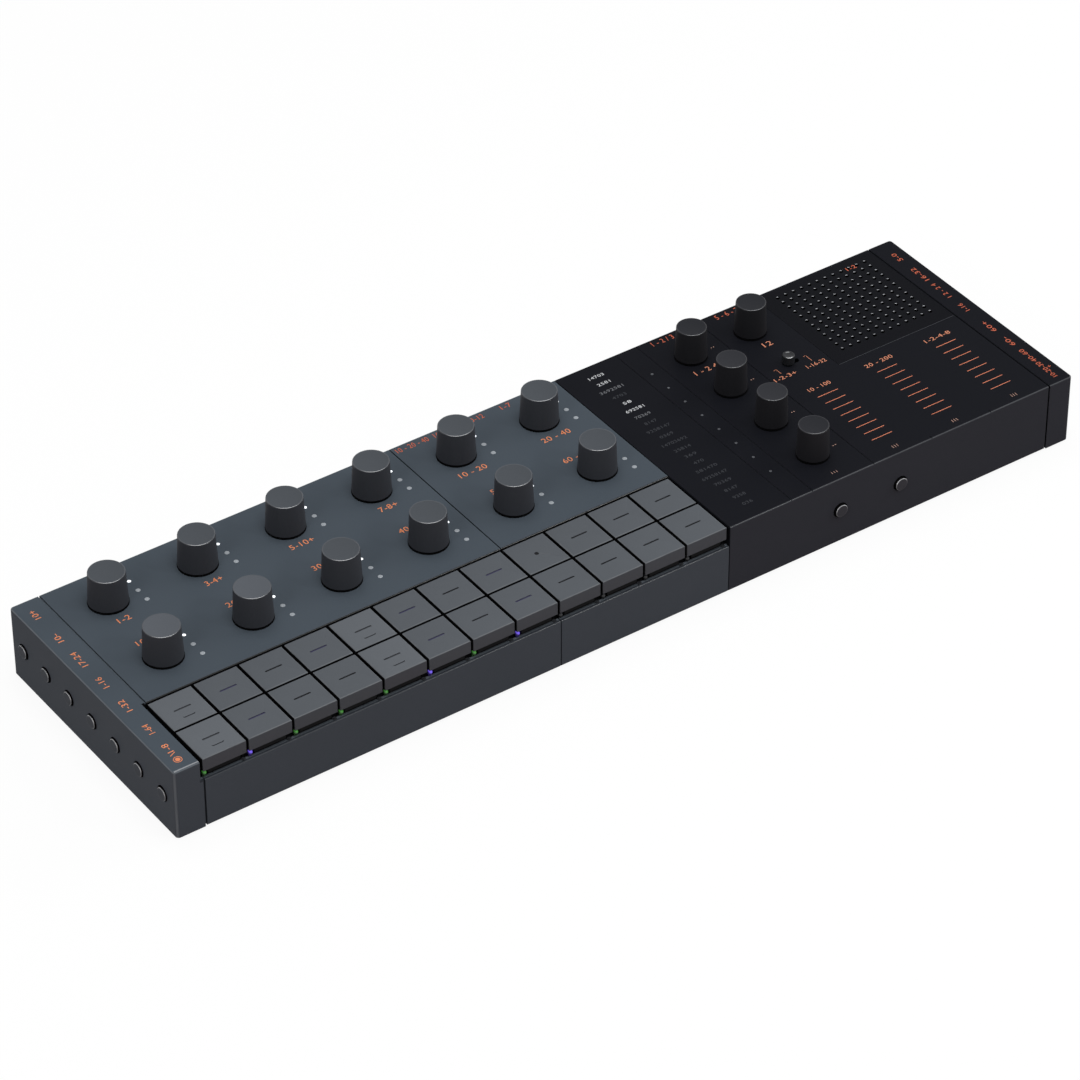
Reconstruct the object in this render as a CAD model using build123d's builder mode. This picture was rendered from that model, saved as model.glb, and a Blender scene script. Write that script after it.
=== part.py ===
"""A drum machine, built as the pieces that it comes apart into.

+X runs along the keys to the right, +Y away from the player, +Z up. The origin is on the surface
that the feet rest on, under the middle of the case. Lengths are in millimetres.
"""

import os

from build123d import *

os.makedirs("parts", exist_ok=True)

# ---- Driving dimensions: plan ---------------------------------------------------------------
key_pitch = 16.07  # spacing of the keys, and the grid that the modules follow
drum_columns = 8  # widths of the three modules, in key pitches
synth_columns = 4
sound_columns = 8
left_cap_width = 10.4
right_cap_width = 9.8
case_depth = 95.0

# ---- Driving dimensions: shells -------------------------------------------------------------
foot_height = 0.8
case_height = 25.3
wall = 2.0  # thickness of the side walls
panel = 2.0  # thickness of the top panels
bay_floor = 2.0  # thickness of the floor that the keys stand on
edge_round = 0.6
corner_round = 1.2
seam_width = 0.4  # groove where two modules meet
seam_depth = 0.6
cap_seam = 0.5  # groove on the end cap's side of its seam
groove_width = 0.3  # lines cut in the sound module's panel
groove_depth = 0.3
notch_length = 1.5  # short cuts in the panel's front edge
end_frame = 1.5  # rib that closes the end of a module
frame_drop = 2.0  # how far that rib hangs below the panel
base_plate = 2.0
base_gap = 0.2  # between the base plate and the walls

# ---- Driving dimensions: keys ---------------------------------------------------------------
key_rise = 0.4  # key tops above the panel
key_gap = 1.0
row_gap = 0.8  # between the two rows
key_setback = 0.3
key_shift = 0.65  # keys to the left of the modules' grid
key_height = 4.8
key_wall = 1.3
key_skin = 1.5  # thickness of a key's top
key_chamfer = 0.3
skirt_drop = 1.8
skirt_side_inset = 1.9
skirt_front_inset = 0.5
key_travel = 0.9
travel_spare = 0.3
bay_gap = 1.1  # behind the keys
bay_left_gap = 1.3  # cut into the left end cap
stem = 5.0
guide_gap = 0.2
hook_reach = 0.7
hook_height = 1.2
hook_gap = 0.15

# ---- Driving dimensions: knobs and switch ---------------------------------------------------
knob_rise = 0.5  # gap between a knob and the panel
knob_height = 11.4
knob_rim = 0.4
knob_shift = 0.3  # knobs to the left of the modules' grid
knob_swell = 0.05  # how far a knob's side bows out
knob_margin = 15.1  # back row of knobs, from the rear
bay_knob_margin = 15.7  # front row of track knobs, from the key bay
track_knob_base = 6.4  # radii
track_knob_crown = 5.9
small_knob_base = 5.4
small_knob_crown = 5.0
shaft_radius = 2.9
shaft_play = 0.2
shaft_hole = 0.6  # radial gap round a shaft in the panel
encoder_side = 12.0
encoder_height = 6.6
encoder_bore = 5.0
switch_radius = 2.1
switch_height = 3.3
switch_rise = 0.3
switch_neck = 1.0  # radius of the neck in the slot
switch_travel = 3.0
switch_lip = 1.2  # how far the slider's plate overlaps the slot
switch_plate = 0.8
slide_gap = 0.2
switch_offset = 0.5  # the switch's left position, left of the effect knob's middle
switch_margin = 36.3  # from the rear

# ---- Driving dimensions: side buttons -------------------------------------------------------
button_radius = 2.45
button_gap = 0.25
end_button_proud = 0.7
long_button_proud = 1.0  # on the front and the rear
button_bevel = 0.4
button_travel = 0.5
strip_gap = 0.3
strip_thickness = 1.2
strip_height = 4.0
strip_end = 1.6  # strip past its last button
end_button_margin = 7.3  # first and last left buttons, from the front and the rear
left_button_count = 7
right_button_margin = 7.8  # first right button, from the front
right_button_clear = 12.56  # last right button, from the nearest jack
right_button_count = 4

# ---- Driving dimensions: inside -------------------------------------------------------------
board_lift = 6.1
board_thickness = 1.6
board_gap = 1.0
board_end_gap = 5.3
axis_above_board = 3.0  # side buttons and jacks, above the board
boss_radius = 3.0
boss_clearance = 0.5
screw_radius = 1.2
screw_head = 2.3
screw_bite = 5.5  # thread inside a boss
pilot_gap = 0.05
screw_gap = 0.3
sheet = 0.8  # the key mat's web
pad_base = 8.0
pad_gap = 0.15  # left between a pressed key and its pad
pad_taper = 12
battery_length = 70.0
battery_width = 36.0
battery_thickness = 5.0
fence = 1.2
fence_height = 3.0
foot_radius = 5.0
foot_inset_end = 30.8
foot_inset_side = 11.5
post_side = 4.0

# ---- Driving dimensions: loudspeaker and sockets --------------------------------------------
grille_thickness = 1.2
grille_gap = 0.1
grille_holes = 12
grille_pitch_across = 3.33
grille_pitch_deep = 3.18
grille_hole = 0.65
grille_rear_margin = 1.2
grille_depth = 46.7  # its front edge, from the rear
grille_centre_margin = 23.0  # middle of its holes, from the rear
speaker_radius = 18.0
speaker_rim = 1.5
speaker_depth = 11.0
magnet_radius = 10.0
magnet_depth = 4.0
jack_radius = 1.8
jack_depth = 11.5
jack_wall = 0.9
jack_side = 6.2
jack_recess = 0.5
jack_hole_gap = 0.4
jack_lead_in = 0.3
jack_pitch = 11.67
first_jack = 21.0  # from the rear
jack_count = 3
usb_width = 8.94
usb_height = 3.2
usb_depth = 7.3
usb_shell = 0.3
usb_hole_gap = 0.35
usb_margin = 9.5  # charging port, from the rear

# ---- Levels and edges worked out from them --------------------------------------------------
base_under = foot_height
base_top = base_under + base_plate
panel_top = foot_height + case_height
panel_under = panel_top - panel
board_under = base_top + board_lift
board_top = board_under + board_thickness
side_axis = board_top + axis_above_board
key_top = panel_top + key_rise
key_skirt_top = key_top - key_height
skirt_bottom = key_skirt_top - skirt_drop
floor_top = skirt_bottom - key_travel - travel_spare
floor_under = floor_top - bay_floor

front = -case_depth / 2
rear = case_depth / 2
inner_front = front + wall
inner_rear = rear - wall
grid_width = (drum_columns + synth_columns + sound_columns) * key_pitch
case_length = left_cap_width + grid_width + right_cap_width
case_left = -case_length / 2
case_right = case_length / 2
grid_left = case_left + left_cap_width
grid_right = case_right - right_cap_width
drum_right = grid_left + drum_columns * key_pitch
synth_right = drum_right + synth_columns * key_pitch

key_side = key_pitch - key_gap
front_row = front + key_setback + key_side / 2
back_row = front_row + key_side + row_gap
bay_rear = back_row + key_side / 2 + bay_gap
between_rows = (front_row + back_row) / 2
first_key = grid_left + key_pitch / 2 - key_shift
key_columns = [first_key + i * key_pitch for i in range(drum_columns + synth_columns)]
bay_left = first_key - key_side / 2 - bay_left_gap

# Knob columns lie on the grid of the keys, and their rows stand off the rear edge and the key bay.
knob_back_row = rear - knob_margin
knob_front_row = bay_rear + bay_knob_margin
first_knob = grid_left + key_pitch - knob_shift
track_columns = [first_knob + 2 * i * key_pitch for i in range((drum_columns + synth_columns) // 2)]
sound_column = synth_right + 2.75 * key_pitch - knob_shift
effect_column = synth_right + 4.25 * key_pitch - knob_shift
sound_knob_pitch = (case_depth - 2 * knob_margin) / 3
sound_knob_rows = [knob_back_row - i * sound_knob_pitch for i in range(4)]
track_knobs = [(x, knob_back_row) for x in track_columns] + [(x, knob_front_row) for x in track_columns]
small_knobs = [(sound_column, y) for y in sound_knob_rows] + [(effect_column, knob_back_row)]

panel_grooves = [synth_right + columns * key_pitch for columns in (1.5, 2.02, 3.54)]
edge_notches = [synth_right + columns * key_pitch for columns in (5, 6.5)]
switch_left = effect_column - switch_offset
switch_line = rear - switch_margin

grille_left = synth_right + 5 * key_pitch
grille_centre = grille_left + 1.5 * key_pitch
grille_front = rear - grille_depth
grille_row_centre = rear - grille_centre_margin
usb_line = rear - usb_margin

left_button_pitch = (case_depth - 2 * end_button_margin) / (left_button_count - 1)
left_buttons = [front + end_button_margin + i * left_button_pitch for i in range(left_button_count)]
jack_lines = [rear - first_jack - i * jack_pitch for i in range(jack_count)]
first_right_button = front + right_button_margin
right_button_span = jack_lines[-1] - right_button_clear - first_right_button
right_button_pitch = right_button_span / (right_button_count - 1)
right_buttons = [first_right_button + i * right_button_pitch for i in range(right_button_count)]
synth_rear_buttons = [(i - 2) * 0.75 * key_pitch for i in range(4)]
sound_side_buttons = [sound_column, effect_column]

# Screws from below: into bosses of the modules, and into the end caps' feet.
rear_boss_line = inner_rear - boss_radius + seam_depth
front_boss_line = inner_front + boss_radius - seam_depth
drum_bosses = [
    (grid_left + 2 * key_pitch, rear_boss_line),
    (grid_left + 6 * key_pitch, between_rows),
]
synth_bosses = [
    (drum_right + 2 * key_pitch, between_rows),
    (synth_right - key_pitch / 2, rear_boss_line),
]
sound_bosses = [
    (synth_right + 0.75 * key_pitch, rear_boss_line),
    (grille_left, front_boss_line),
]
lug_reach = 2 * boss_radius + 2.0  # past the seam
lug_height = 4.0
lug_line = inner_rear - 9.5
left_lugs = [(grid_left + boss_radius + 2.0, y) for y in (-lug_line, lug_line)]
right_lugs = [(grid_right - boss_radius - 2.0, y) for y in (-lug_line, lug_line)]
screw_places = drum_bosses + synth_bosses + sound_bosses + left_lugs + right_lugs


def plain_outline(inset):
    """Corners of a full-height module's section, in the YZ plane."""
    return [
        (front + inset, base_under + inset),
        (front + inset, panel_top - inset),
        (rear - inset, panel_top - inset),
        (rear - inset, base_under + inset),
    ]


def keyed_outline(inset):
    """Corners of the section of a module whose front is stepped down for the keys."""
    return [
        (front + inset, base_under + inset),
        (front + inset, floor_top - inset),
        (bay_rear + inset, floor_top - inset),
        (bay_rear + inset, panel_top - inset),
        (rear - inset, panel_top - inset),
        (rear - inset, base_under + inset),
    ]


def plain_tunnel(drop):
    """Corners of the space inside a full-height module, open at the bottom."""
    return [
        (inner_front, 0),
        (inner_front, panel_under - drop),
        (inner_rear, panel_under - drop),
        (inner_rear, 0),
    ]


def keyed_tunnel(drop):
    """Corners of the space inside a stepped module, open at the bottom."""
    return [
        (inner_front, 0),
        (inner_front, floor_under),
        (bay_rear + wall, floor_under),
        (bay_rear + wall, panel_under - drop),
        (inner_rear, panel_under - drop),
        (inner_rear, 0),
    ]


def add_section(x, length, outline, tunnel, rounding=0.0):
    """Extrude a section along X from x, into the part that is being built."""
    with BuildSketch(Plane.YZ.offset(x)) as section:
        with BuildLine():
            Polyline(*outline, close=True)
        make_face()
        if rounding:
            fillet(section.vertices(), rounding)
        with BuildLine():
            Polyline(*tunnel, close=True)
        make_face(mode=Mode.SUBTRACT)
    extrude(section.sketch, amount=length)


def add_bosses(places, top):
    """Screw bosses from the base plate up to the shell, each with its pilot hole."""
    with Locations(*[(x, y, base_top) for x, y in places]):
        Cylinder(boss_radius, top - base_top, align=(Align.CENTER, Align.CENTER, Align.MIN))


def drill_bosses(places):
    """Blind pilot holes for the screws."""
    with Locations(*[(x, y, base_top) for x, y in places]):
        Cylinder(
            screw_radius + pilot_gap,
            screw_bite,
            align=(Align.CENTER, Align.CENTER, Align.MIN),
            mode=Mode.SUBTRACT,
        )


def cut_shaft_holes(places):
    """Round holes in the panel that the knobs' shafts pass through."""
    with Locations(*[(x, y, panel_top) for x, y in places]):
        Hole(shaft_radius + shaft_hole, depth=panel + frame_drop)


def cut_wall_holes(places, radius, outward):
    """Round holes through a side wall; each place lies on the wall's outer face."""
    for place in places:
        with BuildSketch(Plane(origin=place, z_dir=outward)) as opening:
            Circle(radius)
        extrude(opening.sketch, amount=-wall - corner_round, mode=Mode.SUBTRACT)


def stepped_module(left, right, bosses, knobs, columns):
    """A module with key bay: panel, walls, key floor with a window under each key, bosses."""
    with BuildPart() as case:
        skin = seam_width / 2
        add_section(left + skin, right - left - seam_width, keyed_outline(0), keyed_tunnel(0), edge_round)
        for x in (left, right - end_frame):
            add_section(x, end_frame, keyed_outline(seam_depth), keyed_tunnel(frame_drop))
        add_bosses([place for place in bosses if place[1] < 0], floor_under)
        add_bosses([place for place in bosses if place[1] > 0], panel_under)
        drill_bosses(bosses)
        cut_shaft_holes(knobs)
        window = stem + 2 * guide_gap
        with Locations(*[(x, y, floor_top) for x in columns for y in (front_row, back_row)]):
            Box(
                window,
                window,
                bay_floor,
                align=(Align.CENTER, Align.CENTER, Align.MAX),
                mode=Mode.SUBTRACT,
            )
    return case.part


def save(part, name):
    """Label a finished piece and write its file."""
    part.label = name
    export_step(part, f"parts/{name}.step")


# ---- Module shells --------------------------------------------------------------------------
drum_keys = key_columns[:drum_columns]
synth_keys = key_columns[drum_columns:]
drum_knobs = [place for place in track_knobs if place[0] < drum_right]
synth_knobs = [place for place in track_knobs if place[0] > drum_right]

drum_case = stepped_module(grid_left, drum_right, drum_bosses, drum_knobs, drum_keys)
save(drum_case, "drum_case")

with BuildPart() as synth_case:
    add(stepped_module(drum_right, synth_right, synth_bosses, synth_knobs, synth_keys))
    cut_wall_holes([(x, rear, side_axis) for x in synth_rear_buttons], button_radius + button_gap, (0, 1, 0))
save(synth_case.part, "synth_case")

grille_right = grid_right - seam_width
grille_rear = rear - grille_rear_margin
grille_size = (grille_right - grille_left, grille_rear - grille_front)
grille_middle = ((grille_left + grille_right) / 2, (grille_front + grille_rear) / 2)

with BuildPart() as sound_case:
    skin_width = grid_right - synth_right - seam_width
    add_section(synth_right + seam_width / 2, skin_width, plain_outline(0), plain_tunnel(0), edge_round)
    add_section(synth_right, end_frame, plain_outline(seam_depth), keyed_tunnel(frame_drop))
    add_section(grid_right - end_frame, end_frame, plain_outline(seam_depth), plain_tunnel(frame_drop))
    add_bosses(sound_bosses, panel_under)
    drill_bosses(sound_bosses)
    cut_shaft_holes(small_knobs)
    sides = [(front, (0, -1, 0)), (rear, (0, 1, 0))]
    for y, outward in sides:
        cut_wall_holes([(x, y, side_axis) for x in sound_side_buttons], button_radius + button_gap, outward)
    # Rebate for the grille, and the round opening that the loudspeaker sounds through.
    with BuildSketch(Plane.XY.offset(panel_top)):
        with Locations(grille_middle):
            Rectangle(*grille_size)
    extrude(amount=-grille_thickness, mode=Mode.SUBTRACT)
    with Locations((grille_centre, grille_row_centre, panel_top)):
        Hole(speaker_radius - speaker_rim, depth=panel)
    # Lines across the panel, and short cuts in its front edge.
    with BuildSketch(Plane.XY.offset(panel_top)):
        with Locations(*[(x, 0) for x in panel_grooves]):
            Rectangle(groove_width, case_depth)
        with Locations(*[(x, front + notch_length / 2) for x in edge_notches]):
            Rectangle(groove_width, notch_length)
    extrude(amount=-groove_depth, mode=Mode.SUBTRACT)
    # Slot of the slide switch.
    with BuildSketch(Plane.XY.offset(panel_top)):
        with Locations((switch_left + switch_travel / 2, switch_line)):
            SlotCenterToCenter(switch_travel, 2 * (switch_neck + slide_gap))
    extrude(amount=-panel, mode=Mode.SUBTRACT)
save(sound_case.part, "sound_case")

with BuildPart() as speaker_grille:
    with BuildSketch(Plane.XY.offset(panel_top - grille_thickness)):
        with Locations(grille_middle):
            Rectangle(grille_size[0] - 2 * grille_gap, grille_size[1] - 2 * grille_gap)
        with Locations((grille_centre, grille_row_centre)):
            with GridLocations(grille_pitch_across, grille_pitch_deep, grille_holes, grille_holes):
                RegularPolygon(grille_hole, 6, mode=Mode.SUBTRACT)
    extrude(amount=grille_thickness)
save(speaker_grille.part, "speaker_grille")


# ---- End caps -------------------------------------------------------------------------------
def end_cap(side, width, lugs, tunnel):
    """A shell that closes one end; side is -1 on the left and 1 on the right."""
    seam = side * (case_right - width)
    outer_skin = width - cap_seam
    lug_length = width - wall + lug_reach
    with BuildPart() as cap:
        skin_middle = side * (case_right - outer_skin / 2)
        with Locations((skin_middle, 0, base_under)):
            Box(outer_skin, case_depth, case_height, align=(Align.CENTER, Align.CENTER, Align.MIN))
        outer_face = cap.faces().sort_by(Axis.X)[-1 if side > 0 else 0]
        upright = outer_face.edges().filter_by(Axis.Z)
        fillet(upright, corner_round)
        top_edges = cap.edges().group_by(Axis.Z)[-1]
        rim = top_edges.filter_by(lambda edge: abs(edge.center().X) > abs(seam) + cap_seam + seam_width)
        fillet(rim, edge_round)
        hollow = width - wall
        with Locations((seam + side * hollow / 2, 0, 0)):
            Box(
                hollow,
                inner_rear - inner_front,
                panel_under,
                align=(Align.CENTER, Align.CENTER, Align.MIN),
                mode=Mode.SUBTRACT,
            )
        bay_reach = grid_left - bay_left if side < 0 else 0
        frame = end_frame + bay_reach
        frame_start = seam if side > 0 else seam - frame
        add_section(frame_start, frame, plain_outline(seam_depth), tunnel(frame_drop))
        lug_end = side * (case_right - wall - lug_length / 2)
        with Locations(*[(lug_end, y, base_top) for _, y in lugs]):
            Box(lug_length, 3 * boss_radius, lug_height, align=(Align.CENTER, Align.CENTER, Align.MIN))
        with Locations(*[(x, y, base_top) for x, y in lugs]):
            Cylinder(
                screw_radius + pilot_gap,
                lug_height,
                align=(Align.CENTER, Align.CENTER, Align.MIN),
                mode=Mode.SUBTRACT,
            )
        if side < 0:
            with Locations((bay_left, front, floor_top)):
                Box(bay_reach, bay_rear - front, case_height, align=Align.MIN, mode=Mode.SUBTRACT)
            cut_wall_holes(
                [(case_left, y, side_axis) for y in left_buttons], button_radius + button_gap, (-1, 0, 0)
            )
        else:
            cut_wall_holes(
                [(case_right, y, side_axis) for y in right_buttons], button_radius + button_gap, (1, 0, 0)
            )
            jack_hole = jack_radius + jack_wall + jack_hole_gap
            cut_wall_holes([(case_right, y, side_axis) for y in jack_lines], jack_hole, (1, 0, 0))
            usb_opening = Plane(origin=(case_right, usb_line, usb_axis), z_dir=(1, 0, 0), x_dir=(0, 1, 0))
            with BuildSketch(usb_opening):
                SlotOverall(usb_width + 2 * usb_hole_gap, usb_height + 2 * usb_hole_gap)
            extrude(amount=-wall - corner_round, mode=Mode.SUBTRACT)
    return cap.part


usb_axis = board_top + usb_height / 2
save(end_cap(-1, left_cap_width, left_lugs, keyed_tunnel), "left_end_cap")
save(end_cap(1, right_cap_width, right_lugs, plain_tunnel), "right_end_cap")

# ---- Base cover, feet and screws ------------------------------------------------------------
base_length = case_length - 2 * (wall + base_gap)
base_width = case_depth - 2 * (wall + base_gap)
battery_place = (grid_left + 3.7 * key_pitch, key_pitch / 2)
post_columns = [grid_left + key_pitch / 2, drum_right - key_pitch, synth_right + key_pitch]
post_columns.append(grid_right - key_pitch / 2)
post_places = [(x, y) for x in post_columns for y in (-key_pitch, key_pitch)]

with BuildPart() as base_cover:
    with Locations((0, 0, base_under)):
        Box(base_length, base_width, base_plate, align=(Align.CENTER, Align.CENTER, Align.MIN))
    with Locations(*[(x, y, base_top) for x, y in post_places]):
        Box(post_side, post_side, board_lift, align=(Align.CENTER, Align.CENTER, Align.MIN))
    # Fence that holds the battery.
    with BuildSketch(Plane.XY.offset(base_top)):
        with Locations(battery_place):
            Rectangle(battery_length + 2 * (base_gap + fence), battery_width + 2 * (base_gap + fence))
            Rectangle(battery_length + 2 * base_gap, battery_width + 2 * base_gap, mode=Mode.SUBTRACT)
    extrude(amount=fence_height)
    with Locations(*[Location((x, y, base_under), (180, 0, 0)) for x, y in screw_places]):
        CounterSinkHole(screw_radius + screw_gap, screw_head, depth=base_plate, counter_sink_angle=90)
save(base_cover.part, "base_cover")

with BuildPart() as feet:
    foot_span = (case_length - 2 * foot_inset_end, case_depth - 2 * foot_inset_side)
    with GridLocations(foot_span[0], foot_span[1], 2, 2):
        Cylinder(foot_radius, foot_height, align=(Align.CENTER, Align.CENTER, Align.MIN))
save(feet.part, "feet")

with BuildPart() as screws:
    with BuildSketch(Plane.XZ):
        with BuildLine():
            Polyline(
                (0, 0),
                (screw_head, 0),
                (screw_radius, screw_head - screw_radius),
                (screw_radius, base_plate + screw_bite - screw_gap),
                (0, base_plate + screw_bite - screw_gap),
                close=True,
            )
        make_face()
    one_screw = revolve(axis=Axis.Z, mode=Mode.PRIVATE)
    with Locations(*[(x, y, base_under) for x, y in screw_places]):
        add(one_screw)
save(screws.part, "screws")

# ---- Main board, with what is soldered to it ------------------------------------------------
board_length = case_length - 2 * (wall + board_end_gap)
board_width = case_depth - 2 * (wall + board_gap)
long_strip_back = wall + strip_gap + strip_thickness + button_travel
end_strip_back = long_strip_back
contact_gap = 0.1
tact_depth = 4.0
tact_width = 6.0
tact_height = 2 * axis_above_board


def strip_bay(places):
    """Length of board edge cut back behind a row of buttons, with its middle."""
    margin = button_radius + strip_end + board_gap
    return places[-1] - places[0] + 2 * margin, (places[0] + places[-1]) / 2


def tact_row(places, line, across):
    """Push contacts on the board behind a row of buttons; across swaps their sides."""
    size = (tact_depth, tact_width) if across else (tact_width, tact_depth)
    spots = [(line, p, board_top) if across else (p, line, board_top) for p in places]
    with Locations(*spots):
        Box(*size, tact_height, align=(Align.CENTER, Align.CENTER, Align.MIN))


with BuildPart() as board:
    with BuildSketch(Plane.XY.offset(board_under)):
        Rectangle(board_length, board_width)
        notch = long_strip_back + contact_gap - wall - board_gap
        for buttons, edge in (
            (synth_rear_buttons, rear),
            (sound_side_buttons, rear),
            (sound_side_buttons, front),
        ):
            length, middle = strip_bay(buttons)
            depth = wall + board_gap + notch
            inward = -1 if edge > 0 else 1
            with Locations((middle, edge + inward * depth / 2)):
                Rectangle(length, depth, mode=Mode.SUBTRACT)
        with Locations(*(drum_bosses + synth_bosses + sound_bosses)):
            Circle(boss_radius + boss_clearance, mode=Mode.SUBTRACT)
    extrude(amount=board_thickness)

with BuildPart() as encoders:
    with Locations(*[(x, y, board_top) for x, y in track_knobs + small_knobs]):
        Box(encoder_side, encoder_side, encoder_height, align=(Align.CENTER, Align.CENTER, Align.MIN))
    bore_level = Plane.XY.offset(board_top + encoder_height)
    with BuildSketch(bore_level):
        with Locations(*(track_knobs + small_knobs)):
            bore_side = 2 * (shaft_radius + shaft_play)
            Rectangle(bore_side, bore_side)
    extrude(amount=-encoder_bore, mode=Mode.SUBTRACT)

with BuildPart() as contacts:
    tact_line = rear - long_strip_back - contact_gap - tact_depth / 2
    tact_row(synth_rear_buttons + sound_side_buttons, tact_line, False)
    tact_row(sound_side_buttons, -tact_line, False)
    end_line = case_right - end_strip_back - contact_gap - tact_depth / 2
    tact_row(left_buttons, -end_line, True)
    tact_row(right_buttons, end_line, True)

with BuildPart() as slide_contact:
    plate_under = panel_under - slide_gap - switch_plate
    with Locations((switch_left + switch_travel / 2, switch_line, board_top)):
        Box(
            2 * (switch_travel + switch_neck),
            4 * switch_neck,
            plate_under - slide_gap - board_top,
            align=(Align.CENTER, Align.CENTER, Align.MIN),
        )

board_parts = [*encoders.part.solids(), *contacts.part.solids(), slide_contact.part.solid()]
main_board = Compound(children=[board.part.solid(), *board_parts])
save(main_board, "main_board")

# ---- Key mat: a rubber sheet with a sprung pad under each key -------------------------------
stem_bottom = floor_under - hook_gap - hook_height
pad_top = stem_bottom - key_travel - pad_gap
mat_left = grid_left + end_frame
mat_right = synth_right - end_frame
mat_front = front_row - key_side / 3
mat_rear = back_row + key_side / 3

with BuildPart() as key_mat:
    with BuildSketch(Plane.XY.offset(board_top)):
        with Locations(((mat_left + mat_right) / 2, (mat_front + mat_rear) / 2)):
            Rectangle(mat_right - mat_left, mat_rear - mat_front)
        with Locations(*[place for place in drum_bosses + synth_bosses if place[1] < 0]):
            Circle(boss_radius + boss_clearance, mode=Mode.SUBTRACT)
    extrude(amount=sheet)
    with BuildSketch(Plane.XY.offset(board_top + sheet)):
        with Locations(*[(x, y) for x in key_columns for y in (front_row, back_row)]):
            Rectangle(pad_base, pad_base)
    extrude(amount=pad_top - board_top - sheet, taper=pad_taper)
save(key_mat.part, "key_mat")


# ---- Keys -----------------------------------------------------------------------------------
def key(x, y):
    """A hollow cap with a recessed skirt, and a stem that hooks under the key floor."""
    skirt_size = (key_side - 2 * skirt_side_inset, key_side - 2 * skirt_front_inset)
    hollow_top = key_top - key_skin
    with BuildPart() as cap:
        with Locations((x, y, key_skirt_top)):
            Box(key_side, key_side, key_height, align=(Align.CENTER, Align.CENTER, Align.MIN))
        chamfer(cap.faces().sort_by(Axis.Z)[-1].edges(), key_chamfer)
        with Locations((x, y, skirt_bottom)):
            Box(*skirt_size, skirt_drop, align=(Align.CENTER, Align.CENTER, Align.MIN))
            Box(
                skirt_size[0] - 2 * key_wall,
                skirt_size[1] - 2 * key_wall,
                hollow_top - skirt_bottom,
                align=(Align.CENTER, Align.CENTER, Align.MIN),
                mode=Mode.SUBTRACT,
            )
        with Locations((x, y, stem_bottom)):
            Box(stem, stem, hollow_top - stem_bottom, align=(Align.CENTER, Align.CENTER, Align.MIN))
        # Hooks either side of the stem, sloped below so that they snap through the window.
        with BuildSketch(Plane.XZ.offset(-y - stem / 2)):
            with BuildLine():
                Polyline(
                    (x - stem / 2, stem_bottom),
                    (x - stem / 2 - hook_reach, stem_bottom + hook_height),
                    (x + stem / 2 + hook_reach, stem_bottom + hook_height),
                    (x + stem / 2, stem_bottom),
                    close=True,
                )
            make_face()
        extrude(amount=stem)
    return cap.part


for column, x in enumerate(key_columns, start=1):
    save(key(x, front_row), f"front_key_{column}")
    save(key(x, back_row), f"back_key_{column}")


# ---- Knobs ----------------------------------------------------------------------------------
def knob(x, y, base_radius, crown_radius):
    """A tapered knob with a bevelled rim, on the shaft that turns in its encoder."""
    bottom = panel_top + knob_rise
    crown = bottom + knob_height
    shaft_end = board_top + encoder_height - encoder_bore + shaft_play
    with BuildPart() as turned:
        with BuildSketch(Plane.XZ.offset(-y)):
            with BuildLine():
                side_top = crown - knob_rim
                waist = (base_radius + crown_radius) / 2 + knob_swell
                Bezier(
                    (x + base_radius, bottom),
                    (x + waist, (bottom + side_top) / 2),
                    (x + crown_radius, side_top),
                )
                Polyline(
                    (x + crown_radius, side_top),
                    (x + crown_radius - knob_rim, crown),
                    (x, crown),
                    (x, bottom),
                    (x + base_radius, bottom),
                )
            make_face()
        revolve(axis=Axis((x, y, 0), (0, 0, 1)))
        with BuildSketch(Plane.XY.offset(shaft_end)):
            with Locations((x, y)):
                RegularPolygon(shaft_radius, 6)
        extrude(amount=bottom - shaft_end)
    return turned.part


for column, x in enumerate(track_columns, start=1):
    save(knob(x, knob_back_row, track_knob_base, track_knob_crown), f"back_track_knob_{column}")
    save(knob(x, knob_front_row, track_knob_base, track_knob_crown), f"front_track_knob_{column}")
for row, y in enumerate(sound_knob_rows, start=1):
    save(knob(sound_column, y, small_knob_base, small_knob_crown), f"sound_knob_{row}")
save(knob(effect_column, knob_back_row, small_knob_base, small_knob_crown), "effect_knob")

# ---- Slide switch ---------------------------------------------------------------------------
with BuildPart() as mode_switch:
    knob_under = panel_top + switch_rise
    with Locations((switch_left, switch_line, knob_under)):
        Cylinder(switch_radius, switch_height, align=(Align.CENTER, Align.CENTER, Align.MIN))
    chamfer(mode_switch.edges().group_by(Axis.Z)[-1], knob_rim)
    with Locations((switch_left, switch_line, plate_under)):
        Cylinder(switch_neck, knob_under - plate_under, align=(Align.CENTER, Align.CENTER, Align.MIN))
        Box(
            switch_travel + 2 * (switch_travel + switch_neck + switch_lip),
            2 * (switch_neck + slide_gap + switch_lip),
            switch_plate,
            align=(Align.CENTER, Align.CENTER, Align.MIN),
        )
save(mode_switch.part, "mode_switch")


# ---- Side buttons: each row is moulded on one strip -----------------------------------------
def button_strip(places, face, wall_plane, proud):
    """Bevelled heads that stand proud of the wall, on a bar behind it.

    places are the heads' positions along the wall, wall_plane lies on the wall's outer face with
    its z pointing outward, and face maps a position to that plane's own x.
    """
    with BuildPart() as strip:
        bar_length = places[-1] - places[0] + 2 * (button_radius + strip_end)
        bar_plane = wall_plane.offset(-wall - strip_gap)
        with BuildSketch(bar_plane):
            with Locations((face * (places[0] + places[-1]) / 2, 0)):
                Rectangle(bar_length, strip_height)
        extrude(amount=-strip_thickness)
        with BuildSketch(bar_plane):
            with Locations(*[(face * place, 0) for place in places]):
                Circle(button_radius)
        extrude(amount=wall + strip_gap + proud)
        tip_plane = wall_plane.offset(proud)
        tips = strip.faces().filter_by(lambda f: abs(tip_plane.to_local_coords(f.center()).Z) < button_bevel)
        chamfer(tips.edges(), button_bevel)
    return strip.part


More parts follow.
